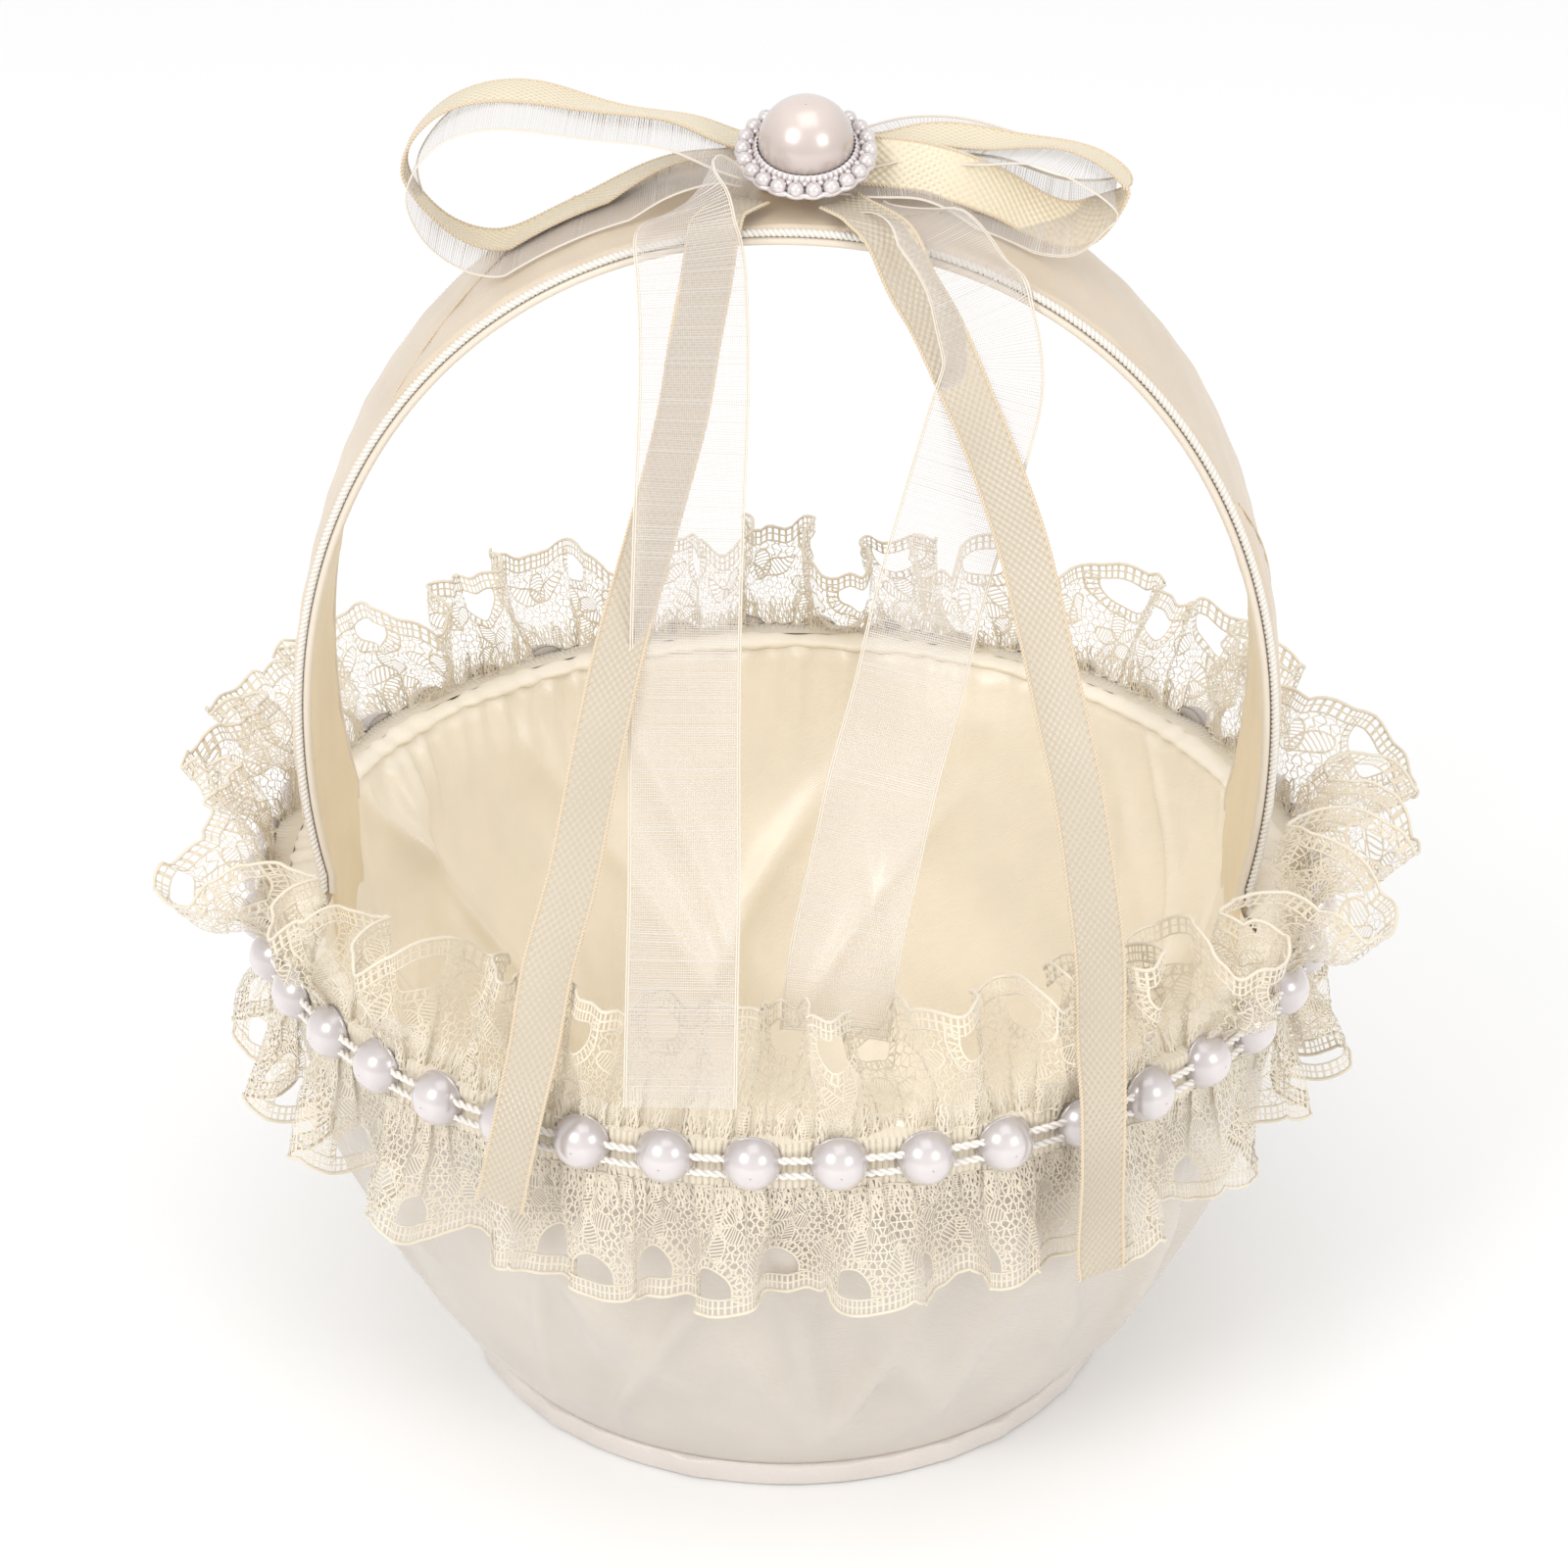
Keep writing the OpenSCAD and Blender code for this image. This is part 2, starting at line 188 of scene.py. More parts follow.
def tint(tree, shader, share, low, high):
    """The base colour runs from low to high as share runs from 0.3 to 0.7."""
    ramp = tree.nodes.new("ShaderNodeValToRGB")
    for stop, position, colour in zip(ramp.color_ramp.elements, (0.3, 0.7), (low, high)):
        stop.position = position
        stop.color = (*colour, 1)
    tree.links.new(share, ramp.inputs["Fac"])
    tree.links.new(ramp.outputs["Color"], shader.inputs["Base Color"])


def satin(name, colour, roughness=0.42, twill=(2.2, 1.3), depth=0.02, woven=0.0):
    """Satin: a soft broad gloss, faint diagonal floats of thread and a slow drift of colour.
    With woven above 0 the weave is coarse enough to see, as a net of small lozenges."""
    material, tree, shader = principled(
        name, colour, Roughness=roughness, Sheen_Weight=0.15, Sheen_Roughness=0.4, Specular_IOR_Level=0.9
    )
    shader.inputs["Anisotropic"].default_value = 0.35
    floats = stripes(tree, *twill)
    cross = stripes(tree, 4.1, 0.2)
    share = noise(tree, 60)
    if woven:
        cross = stripes(tree, twill[0], -twill[1])
        share = combine(tree, "MULTIPLY_ADD", combine(tree, "ADD", floats, cross), woven, share)
    height = combine(tree, "MULTIPLY_ADD", cross, 1.0 if woven else 0.4, floats)
    bump(tree, shader, height, depth, 0.6)
    tint(tree, shader, share, tuple(0.93 * c for c in colour), tuple(min(1, 1.03 * c) for c in colour))
    return material


def threads(name, colour, roughness=0.5, sheen=0.3):
    """Plain thread, whose weave or twist is in its mesh."""
    return principled(name, colour, Roughness=roughness, Sheen_Weight=sheen, Sheen_Roughness=0.5)[0]


def cast(name, colour, grain, depth, **values):
    """A moulded surface, faintly uneven: grain is cells per metre."""
    material, tree, shader = principled(name, colour, **values)
    share = noise(tree, grain)
    bump(tree, shader, share, depth, 0.5)
    tint(tree, shader, share, tuple(0.96 * c for c in colour), colour)
    return material


def pearl(name, colour):
    """Pearlescent coat: a satin-gloss body under a clear lacquer, its colour darkened towards its rim as
    painted shade.
    """
    material, tree, shader = principled(
        name, colour, Roughness=0.26, Metallic=0.4, Specular_IOR_Level=0.9,
        Coat_Weight=1.0, Coat_Roughness=0.06,
    )
    place = cloth_places(tree)
    # Painted shade: the colour darkens from each pearl's middle to its rim.
    tint(tree, shader, place.outputs["Fac"], colour, tuple(0.74 * c for c in colour))
    return material


MATERIALS = {
    # The outer satin: its own pale tone, darkened further as painted shade.
    "satin_outer": satin("satin_outer", (0.59, 0.53, 0.462), roughness=0.22, depth=0.015),
    "satin_base": satin("satin_base", (0.71, 0.65, 0.60), roughness=0.3),
    "satin_lining": satin("satin_lining", (0.96, 0.885, 0.75), roughness=0.3, depth=0.012),
    "satin_handle": satin("satin_handle", (0.69, 0.57, 0.43), roughness=0.34, twill=(1.9, 1.9)),
    # The band's inner faces: a warmer, brighter copy of the handle satin, as painted bounce light.
    "satin_handle_inside_painted_bounce": satin("satin_handle_inside_painted_bounce", (0.84, 0.70, 0.47), roughness=0.4, twill=(1.9, 1.9)),
    "satin_ribbon": satin("satin_ribbon", (0.565, 0.485, 0.37), 0.34, (1.0, 0.8), 0.08, 0.2),
    # The loops' satin: a brighter, yellower copy of the ribbon satin, as painted light shining through the
    # doubled cloth.
    "satin_loop_painted_light": satin("satin_loop_painted_light", (0.78, 0.68, 0.49), 0.32, (1.0, 0.8), 0.06, 0.1),
    # The knot's satin: a brighter, yellower copy of the ribbon satin, as painted light where the brooch
    # shades it.
    "satin_knot_painted_light": satin("satin_knot_painted_light", (0.84, 0.68, 0.44), 0.36, (1.1, 1.6), 0.05),
    "organza": threads("organza", (0.69, 0.64, 0.60), roughness=0.45),
    "organza_edge": threads("organza_edge", (0.76, 0.69, 0.59), roughness=0.4),
    "lace": threads("lace", (0.76, 0.68, 0.545), roughness=0.6, sheen=0.5),
    "selvedge": threads("selvedge", (0.70, 0.58, 0.42), roughness=0.45),
    "thread": threads("thread", (0.82, 0.78, 0.73)),
    "piping_cord": threads("piping_cord", (0.76, 0.72, 0.66), roughness=0.22),
    "piping_plain": threads("piping_plain", (0.72, 0.64, 0.53), roughness=0.3),
    "moulded_plastic": cast("moulded_plastic", (0.85, 0.84, 0.81), 900, 0.03, Roughness=0.5),
    "hot_melt_glue": cast("hot_melt_glue", (0.88, 0.86, 0.78), 160, 0.3, Roughness=0.3),
    "pearl": pearl("pearl", (0.70, 0.645, 0.64)),
    "pearl_dome": pearl("pearl_dome", (0.73, 0.62, 0.57)),
    "silvery": cast("silvery", (0.80, 0.74, 0.73), 700, 0.02, Roughness=0.25, Metallic=0.35, Coat_Weight=0.6),
}

# ---------- building pieces ----------


def piece(name, points, quads, slot, nodes=(), cloth=None, material=None, edge=None):
    """One piece of the object, from points in millimetres and quads of their indices.
    An edge is the number of its first quad and its material: the quads from there on have that material."""
    points, quads = np.reshape(points, (-1, 3)).astype(float), np.asarray(quads, int)
    mesh = bpy.data.meshes.new(name)
    mesh.vertices.add(len(points))
    mesh.vertices.foreach_set("co", (points * MM).ravel())
    mesh.loops.add(quads.size)
    mesh.loops.foreach_set("vertex_index", quads.ravel())
    mesh.polygons.add(len(quads))
    mesh.polygons.foreach_set("loop_start", np.arange(0, quads.size, 4))
    mesh.update(calc_edges=True)
    mesh.validate()
    mesh.shade_smooth()
    if cloth is not None:
        cloth = np.column_stack([np.reshape(cloth, (-1, 2)), np.zeros(len(points))])
        place = mesh.attributes.new("cloth", "FLOAT_VECTOR", "POINT")
        place.data.foreach_set("vector", cloth.astype(np.float32).ravel())
    mesh.materials.append(MATERIALS[material or slot])
    if edge is not None:
        mesh.materials.append(MATERIALS[edge[1]])
        mesh.polygons.foreach_set("material_index", (np.arange(len(quads)) >= edge[0]).astype(np.int32))
    thing = bpy.data.objects.new(name, mesh)
    bpy.context.scene.collection.objects.link(thing)
    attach(thing, "root")
    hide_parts(*nodes)
    return thing


def grid_quads(rows, columns, wrap_rows=False, wrap_columns=False):
    """Quads over a grid of points that is stored row by row."""
    r = np.arange(rows if wrap_rows else rows - 1)[:, None]
    c = np.arange(columns if wrap_columns else columns - 1)[None, :]
    r2, c2 = (r + 1) % rows, (c + 1) % columns
    corners = [r * columns + c, r * columns + c2, r2 * columns + c2, r2 * columns + c]
    return np.stack(corners, -1).reshape(-1, 4)


def joined(parts):
    """Several (points, quads) as one."""
    points, quads, start = [], [], 0
    for p, q in parts:
        points.append(np.reshape(p, (-1, 3)))
        quads.append(np.asarray(q) + start)
        start += len(points[-1])
    return np.concatenate(points), np.concatenate(quads)


def stacked(*values):
    """Values of matching shapes as one array, whose last axis runs over them."""
    return np.stack(np.broadcast_arrays(*values), -1)


def unit(v):
    return v / np.maximum(np.linalg.norm(v, axis=-1, keepdims=True), 1e-9)


def polar(radius, angle, height):
    """Points from their radius, angle and height."""
    return stacked(radius * np.cos(angle), radius * np.sin(angle), height)


def distances(line):
    """How far along a line each of its points lies."""
    return np.concatenate([[0], np.cumsum(np.linalg.norm(np.diff(line, axis=0), axis=1))])


def tube(path, radius, sides, u, v, closed=False):
    """Points and quads of a tube along a path, where u and v are the directions across it."""
    a = np.arange(sides) * TAU / sides
    rings = path[:, None] + radius * (np.cos(a)[:, None] * u[:, None] + np.sin(a)[:, None] * v[:, None])
    return rings.reshape(-1, 3), grid_quads(len(path), sides, wrap_rows=closed, wrap_columns=True)


def across(path, side, closed=False):
    """Two directions across a path: one near the given side, and one square to both."""
    if closed:
        d = unit(np.roll(path, -1, 0) - np.roll(path, 1, 0))
    else:
        d = unit(np.gradient(path, axis=0))
    u = unit(side - (side * d).sum(-1, keepdims=True) * d)
    return u, np.cross(d, u)


def twisted(path, side, radius, pitch, plies=2, sides=6, closed=False):
    """A twisted cord of that outer radius along a path, as one tube for each ply."""
    u, v = across(path, side, closed)
    along = distances(path)
    if closed:
        whole = along[-1] + np.linalg.norm(path[0] - path[-1])
        pitch = whole / round(whole / pitch)
    turn = TAU * along / pitch
    parts = []
    for k in range(plies):
        a = (turn + TAU * k / plies)[:, None]
        strand = path + radius * 0.48 * (np.cos(a) * u + np.sin(a) * v)
        parts.append(tube(strand, radius * 0.54, sides, *across(strand, u, closed), closed=closed))
    return joined(parts)


def smooth_curve(p, steps):
    """The same curve through points that the CAD draws, with steps points to each stretch."""
    n = len(p) - 1
    t = np.linspace(0, 1, steps, endpoint=False)[:, None]
    out = []
    for i in range(n):
        a, b, c, d = p[max(i - 1, 0)], p[i], p[i + 1], p[min(i + 2, n)]
        straight = 2 * b + (c - a) * t
        out.append(0.5 * (straight + (2 * a - 5 * b + 4 * c - d) * t**2 + (3 * b - a - 3 * c + d) * t**3))
    return np.concatenate([*out, p[-1:]])


def between(at, along, points):
    """Places on a line whose points lie at those distances along."""
    return np.stack([np.interp(at, along, points[:, k]) for k in range(3)], -1)


def evenly(line, step, *others):
    """A line again with points a step apart, and the values that go with it."""
    along = distances(line)
    at = np.linspace(0, along[-1], max(2, round(along[-1] / step) + 1))
    return (at, *(between(at, along, x) for x in (line, *others)))


def ease(x, low=0.0, high=1.0):
    """A smooth step from 0 at low to 1 at high."""
    t = np.clip((x - low) / (high - low), 0, 1)
    return t * t * (3 - 2 * t)


def rolling(x, window):
    """The mean of a closed row of values over a window of that many."""
    window = int(window) | 1
    half = window // 2
    total = np.cumsum(np.concatenate([[0], x[-half:], x, x[:half]]))
    return (total[window:] - total[:-window]) / window


def ripple(angle, lowest, highest, seed):
    """Soft random waves round the rim, about 1 high, with that many turns."""
    random = np.random.default_rng(seed)
    turns = np.arange(lowest, highest + 1)
    phase, size = random.uniform(0, TAU, len(turns)), random.normal(0, 1, len(turns))
    waves = sum(a * np.cos(k * angle + f) for k, f, a in zip(turns, phase, size))
    return waves / math.sqrt(len(turns) / 2)


# ---------- bowl ----------


def bowl_r(z):
    """Outer radius of the satin at height z, as in the CAD."""
    return BASE_R + (RIM_R - BASE_R) * (1 - np.clip(1 - z / RIM_Z, 0, 1) ** FULLNESS)


def outline(z):
    """Outer radius of the satin, which is pulled in at its foot to sit inside the base disc's rim."""
    return bowl_r(z) - 3.0 * (1 - ease(z, BASE_T - 4, BASE_T + 13))


def creases(angle, height, count, seed, width, slant, sharp=1.6):
    """Ridges of slack cloth that run up the bowl, where height is 0 at the foot and 1 at the rim."""
    random = np.random.default_rng(seed)
    total = np.zeros(np.broadcast(angle, height).shape)
    for _ in range(count):
        centre, wide, lean = random.uniform(0, TAU), random.uniform(*width), random.uniform(-slant, slant)
        tall, low, long = random.uniform(0.3, 1), random.uniform(-0.2, 0.35), random.uniform(0.45, 1.1)
        off = (angle - centre - lean * height + math.pi) % TAU - math.pi
        ends = ease(height, low, low + 0.2) * (1 - ease(height, low + long, low + long + 0.3))
        total += tall * ends / (1 + np.abs(off / wide) ** (2 * sharp))
    return total


def lathe_cloth(name, radius, height, slot, nodes, inside=False):
    """A ring of cloth from a radius and a height for each row and angle, faced in or out."""
    height = np.broadcast_to(height, radius.shape)
    angle = np.linspace(0, TAU, radius.shape[1], endpoint=False)
    points = polar(radius, angle[None, :], height)
    quads = grid_quads(*radius.shape, wrap_columns=True)
    if inside:
        quads = quads[:, ::-1]
    down = distances(np.stack([radius.mean(1), height.mean(1)], -1))
    return piece(name, points, quads, slot, nodes, stacked(angle[None, :] * RIM_R, down[:, None]))


ROUND = 1080
ANGLE = np.linspace(0, TAU, ROUND, endpoint=False)[None, :]


def base_disc():
    """The covered disc: a rounded rim, flat underneath, with the cloth tucked in under it."""
    rim = 0.9
    a = np.linspace(-math.pi / 2, math.pi / 2, 13)
    r = np.concatenate([[0.01, 20, 40, BASE_R - 6], BASE_R - rim + rim * np.cos(a), [BASE_R - 8, 0.01]])
    z = np.concatenate([[0, 0, 0, 0], np.where(a < 0, rim, BASE_T - rim) + rim * np.sin(a), [BASE_T, BASE_T]])
    wobble = 0.12 * ripple(ANGLE, 9, 40, 3) * ((z > 0.3) & (z < BASE_T - 0.3))[:, None]
    radius = np.broadcast_to(r[:, None], (len(r), ROUND)) + wobble
    return lathe_cloth("base_disc_cover", radius, z[:, None], "satin_base", ["base_disc"])


def outer_cover(disc):
    """Pale satin drawn over the bowl, gathered under the rim and slack in between."""
    z = np.concatenate([[BASE_T + 0.1, BASE_T + 0.1, BASE_T + 0.4], np.linspace(BASE_T + 1.2, RIM_Z, 70)])
    r = outline(z)
    r[0] -= 6
    r[1] -= 0.9
    height = ((z - BASE_T) / (RIM_Z - BASE_T))[:, None]
    loose = (0.6 * ease(height, 0.04, 0.3) + 0.4 * ease(height, 0.15, 0.65)) * (1 - ease(height, 0.9, 1.0))
    folds = 4.2 * creases(ANGLE, height, 52, 12, (0.025, 0.06), 0.75, 1.2) - 0.9
    sag = 0.45 * ripple(ANGLE + 0.25 * height, 5, 17, 12)
    gather = 0.22 * ripple(ANGLE, 60, 110, 13) * ease(height, 0.35, 0.95)
    # Under the lower ruffle the slack is held flatter.
    most = 1.4 + 2.4 * (1 - ease(z, 40, 52))[:, None]
    slack = most * np.tanh(loose * (folds + sag + gather) / most)
    radius = r[:, None] + np.maximum(slack, -0.4)
    # Its satin's colour holds painted shade as well as its own pale tone.
    cover = lathe_cloth("outer_cover_satin", radius, z[:, None], "satin_outer", ["outer_cover"])


def bowl_shell():
    """The moulded cup between the two satins."""
    thick = 1.4
    low, high = BASE_T + COVER_T + 0.05, RIM_Z - 0.1
    up = np.linspace(low, high, 40)
    down = np.linspace(high, low + thick, 40)
    r = np.concatenate([[0.01], outline(up) - COVER_T, outline(down) - COVER_T - thick, [0.01]])
    z = np.concatenate([[low], up, down, [low + thick]])
    radius = np.broadcast_to(r[:, None], (len(r), 180))
    lathe_cloth("bowl_shell", radius, z[:, None], "moulded_plastic", ["bowl_core"])


def lining(edge):
    """Cream satin inside the bowl, in loose folds, drawn over the handle's feet like a pocket."""
    floor = BASE_T + SKINS_T
    z = np.concatenate([[floor] * 7, np.linspace(floor + 0.8, RIM_Z - 0.3, 80)])
    r = outline(z) - SKINS_T
    r[:7] = np.linspace(0.01, r[7] - 0.8, 7)
    height = ((z - floor) / (RIM_Z - floor))[:, None]
    loose = ease(height, 0.03, 0.3) * (1 - 0.75 * ease(height, 0.85, 1.0))
    folds = 2.8 * creases(ANGLE, height, 46, 21, (0.02, 0.06), 0.8, 1.1)
    sag = 0.6 + 0.5 * ripple(ANGLE - 0.2 * height, 4, 15, 22)
    pucker = (0.3 + 0.28 * ripple(ANGLE, 50, 120, 23)) * ease(height, 0.7, 0.97)
    tucked = ease(height, 0.96, 1.0)
    radius = r[:, None] + 0.6 * tucked - np.maximum(loose * (folds + sag) + pucker, -0.5) * (1 - tucked)
    level = np.broadcast_to(z[:, None], radius.shape).copy()
    # Over each foot the cloth runs straight up, a little inside the band.
    foot_x = HOOP_A - 4.4 + 1.5 * ease(level, 56, 74)
    beside = radius * np.abs(np.sin(ANGLE))
    straight = foot_x / np.maximum(np.abs(np.cos(ANGLE)), 0.2)
    cover = (1 - ease(beside, BAND_W / 2 + 1.5, BAND_W / 2 + 9)) * ease(level, 18, 42)
    pulled = np.minimum(radius, straight - 0.4 * folds * (1 - ease(height, 0.6, 0.9)))
    radius = radius + (pulled - radius) * cover
    level += 2.6 * (1 - ease(beside, BAND_W / 2 - 3, BAND_W / 2 + 6)) * ease(height, 0.93, 1.0)
    cloth = lathe_cloth("lining_satin", radius, level, "satin_lining", ["lining"], inside=True)


def rim_roll():
    """The turned edge of the lining, puckered by the thread that holds it."""
    low, high = cad("rim_roll")
    centre = RIM_R - (high[2] - low[2]) - 0.25
    a = np.linspace(-0.25 * math.pi, 1.25 * math.pi, 21)[::-1]
    puckers = 1 + 0.1 * ripple(ANGLE, 70, 130, 31) + 0.08 * ripple(ANGLE, 8, 30, 32)
    size = 2.0 * puckers
    foot = 1 - ease(RIM_R * np.abs(np.sin(ANGLE)), BAND_W / 2 - 2, BAND_W / 2 + 6)
    size = size + 1.6 * foot
    radius = centre - 2.2 * foot + np.cos(a)[:, None] * size
    height = RIM_Z - 0.5 + np.sin(a)[:, None] * size * 0.5
    return lathe_cloth("rim_roll_satin", radius, height, "satin_lining", ["rim_roll"])


outer_cover(base_disc())
bowl_shell()
lining(rim_roll())

# ---------- handle ----------


def bent(v):
    return np.sign(v) * np.abs(v) ** (2 / HOOP_POWER)


def hoop(step, low):
    """The hoop's middle line from the left foot to the right, down to low on each side:
    distances from the top, places and outward directions."""
    start = -math.asin(((HOOP_Z - PIPING_LOW) / HOOP_B) ** (HOOP_POWER / 2))
    a = np.linspace(math.pi - start, start, 2000)
    x, z = HOOP_A * bent(np.cos(a)), HOOP_Z + HOOP_B * bent(np.sin(a))
    if low < PIPING_LOW:
        x, z = np.concatenate([x[:1], x, x[-1:]]), np.concatenate([[low], z, [low]])
    line = np.stack([x, 0 * x, z], -1)
    at, line = evenly(line, step)
    d = unit(np.gradient(line, axis=0))
    return at - at[-1] / 2, line, np.stack([-d[:, 2], 0 * d[:, 0], d[:, 0]], -1)


SEAM_PITCH = 69
SEAM_AT = -46
SEAM_RUN = 32
WRAP_HALF_T = WRAP_T / 2 - 0.15
WIDE = np.array([0.0, 1, 0])


def wrap_height(at, y):
    """How far the wrap's outer face stands off the middle of the band, and the step of its overlaps."""
    crown = 0.45 * (1 - (y / (BAND_W / 2)) ** 2)
    overlap = (at - SEAM_AT - y * SEAM_RUN / BAND_W) / SEAM_PITCH % 1
    step = 0.4 * (1 - ease(overlap, 0.0, 0.9)) * ease(overlap, 0.0, 0.006)
    return WRAP_HALF_T + crown, step


def handle_wrap():
    """Satin ribbon wound round the band: each turn overlaps the last along a slanting edge."""
    at, line, out = hoop(0.6, FOOT_LOW)
    half_w, corner = BAND_W / 2, 0.9
    flat = np.linspace(-1, 1, 25)
    turn = np.linspace(-math.pi / 2, math.pi / 2, 7)[1:-1]
    y = np.concatenate([flat * (half_w - corner), half_w - corner + corner * np.cos(turn[::-1]),
                        -flat * (half_w - corner), -half_w + corner - corner * np.cos(turn)])
    side = np.concatenate([np.ones(25), np.sin(turn[::-1]), -np.ones(25), np.sin(turn)])
    y, side = np.append(y, y[0]), np.append(side, side[0])
    high, step = wrap_height(at[:, None], y)
    slack = 0.07 * np.sin(at[:, None] * 0.8 + y * 0.35) + 0.08 * np.sin(at[:, None] * 0.31 - y * 0.5)
    high = np.where(side > 0.99, high, side * WRAP_HALF_T) + np.where(side > 0, 1, -0.5) * step + slack * side
    width = np.broadcast_to(y, high.shape)
    points = line[:, None] + out[:, None] * high[..., None] + WIDE * width[..., None]
    quads = grid_quads(len(line), len(y))
    nodes = ["handle_wrap", "handle_core"]
    wrap = piece("handle_satin", points, quads, "satin_handle", nodes, stacked(at[:, None], y))
    # The inner faces take the warmer, brighter satin: painted bounce light.
    wrap.data.materials.append(MATERIALS["satin_handle_inside_painted_bounce"])
    inside = (side[quads[:, 0] % len(y)] < -0.5).astype(np.int32)
    wrap.data.polygons.foreach_set("material_index", inside)
    # The ribbon's woven edge shows along every overlap.
    edges = []
    for k in range(-4, 5):
        y = np.linspace(-half_w + 0.8, half_w - 0.8, 60)
        s = SEAM_AT + k * SEAM_PITCH + y * SEAM_RUN / BAND_W + 0.5
        inside = (s > at[0] + 1) & (s < at[-1] - 1)
        if inside.sum() < 10:
            continue
        y, s = y[inside], s[inside]
        off = unit(between(s, at, out)) * (wrap_height(s, y)[0] + 0.38)[:, None]
        seam = between(s, at, line) + off + WIDE * y[:, None]
        edges.append(twisted(evenly(seam, 0.25)[1], np.array([0.0, 0, 1]), 0.22, 0.9))
    seams = piece("handle_satin_edges", *joined(edges), "satin_handle", ["handle_wrap"], material="selvedge")


def handle_piping(name, side):
    """A bright twisted cord over a plain one, along the band's edge."""
    _, line, out = hoop(0.22, PIPING_LOW - 3)
    edge = WIDE * side * (BAND_W / 2 + 0.45)
    twist = twisted(line + edge + out * 0.55, out, 0.62, 1.5)
    plain_line = evenly(line + edge * 0.985 - out * 0.7, 1.0)[1]
    plain = tube(plain_line, 0.62, 8, *across(plain_line, WIDE))
    piece(name, *joined([twist, plain]), "piping_cord", [name[:-5]], edge=(len(twist[1]), "piping_plain"))


handle_piping("handle_piping_front_cord", -1)
handle_piping("handle_piping_back_cord", 1)
handle_wrap()
glue_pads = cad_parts["handle_glue_pads"]
glue_pads.data.materials.clear()
glue_pads.data.materials.append(MATERIALS["hot_melt_glue"])

# ---------- pearls ----------


def dome(radius, rings=14, sides=32):
    """A half ball with a flat back, facing +X, as points and quads."""
    a = np.linspace(0, math.pi / 2 - 0.02, rings)
    out = np.concatenate([[0, 0, 0.02], np.sin(a)]) * radius
    wide = np.concatenate([[0.01, 0.93, 1.0], np.cos(a)]) * radius
    round_it = np.arange(sides) * TAU / sides
    points = polar(wide[:, None], round_it, out[:, None])[..., [2, 0, 1]]
    return points.reshape(-1, 3), grid_quads(len(out), sides, wrap_columns=True)


def turned(points, angle):
    """Points turned about Z."""
    c, s = math.cos(angle), math.sin(angle)
    return points @ np.array([[c, s, 0], [-s, c, 0], [0, 0, 1]])


def pearl_beads():
    """Flat-backed pearls, each sitting a little askew on its threads."""
    random = np.random.default_rng(41)
    shell, quads = dome(PEARL_R)
    parts = []
    for i in range(PEARL_COUNT):
        tip = random.normal(0, 0.05)
        c, s = math.cos(tip), math.sin(tip)
        p = shell @ np.array([[c, 0, s], [0, 1, 0], [-s, 0, c]])
        p = p + np.array([PEARL_BACK_R, 0, PEARL_Z + random.normal(0, 0.25)])
        angle = FRONT + (i + PEARL_PHASE) * TAU / PEARL_COUNT + random.normal(0, 0.002)
        parts.append((turned(p, angle), quads))
    # 0 at each pearl's middle to 1 at its rim: the pearl material darkens its colour by this, as painted
    # shade.
    share = np.tile(np.linalg.norm(shell[:, 1:], axis=1) / PEARL_R, PEARL_COUNT)
    piece("pearls", *joined(parts), "pearl", ["pearl_beads"], stacked(share, share))


def pearl_thread(name, up):
    """Twisted thread between the pearls, which dips a little from one to the next."""
    a = np.linspace(0, TAU, 2600, endpoint=False)
    passed = (a - FRONT) * PEARL_COUNT / TAU - PEARL_PHASE
    dip = 0.25 * np.sin(math.pi * (passed % 1)) ** 2
    ring = polar(THREAD_RING_R - dip, a, PEARL_Z + up * THREAD_GAP - dip)
    piece(name, *twisted(ring, polar(1, a, 0.0), 0.55, 2.6, closed=True), "thread", [name[:-6]])


pearl_beads()
pearl_thread("pearl_thread_upper_twist", 1)
pearl_thread("pearl_thread_lower_twist", -1)

# ---------- brooch ----------


def on_brooch(points):
    """Points from the brooch's own frame, with its face up +Z, into the basket's."""
    c, s = math.cos(BROOCH_TILT), math.sin(BROOCH_TILT)
    return np.asarray(points) @ np.array([[1, 0, 0], [0, c, s], [0, -s, c]]) + BROOCH_AT


def lathe(profile, sides):
    """Points and quads of a profile of (radius, height) turned about Z."""
    a = np.arange(sides) * TAU / sides
    p = np.asarray(profile, float)
    return polar(p[:, :1], a[None, :], p[:, 1:]).reshape(-1, 3), grid_quads(len(p), sides, wrap_columns=True)


def ball(radius, rings, sides):
    b = np.linspace(-math.pi / 2 + 0.05, math.pi / 2 - 0.05, rings)
    return lathe(np.stack([np.cos(b) * radius, np.sin(b) * radius], -1), sides)


BEAD_COUNT = 22
BEAD_RING_R = 8.55
PLATE_T = 1


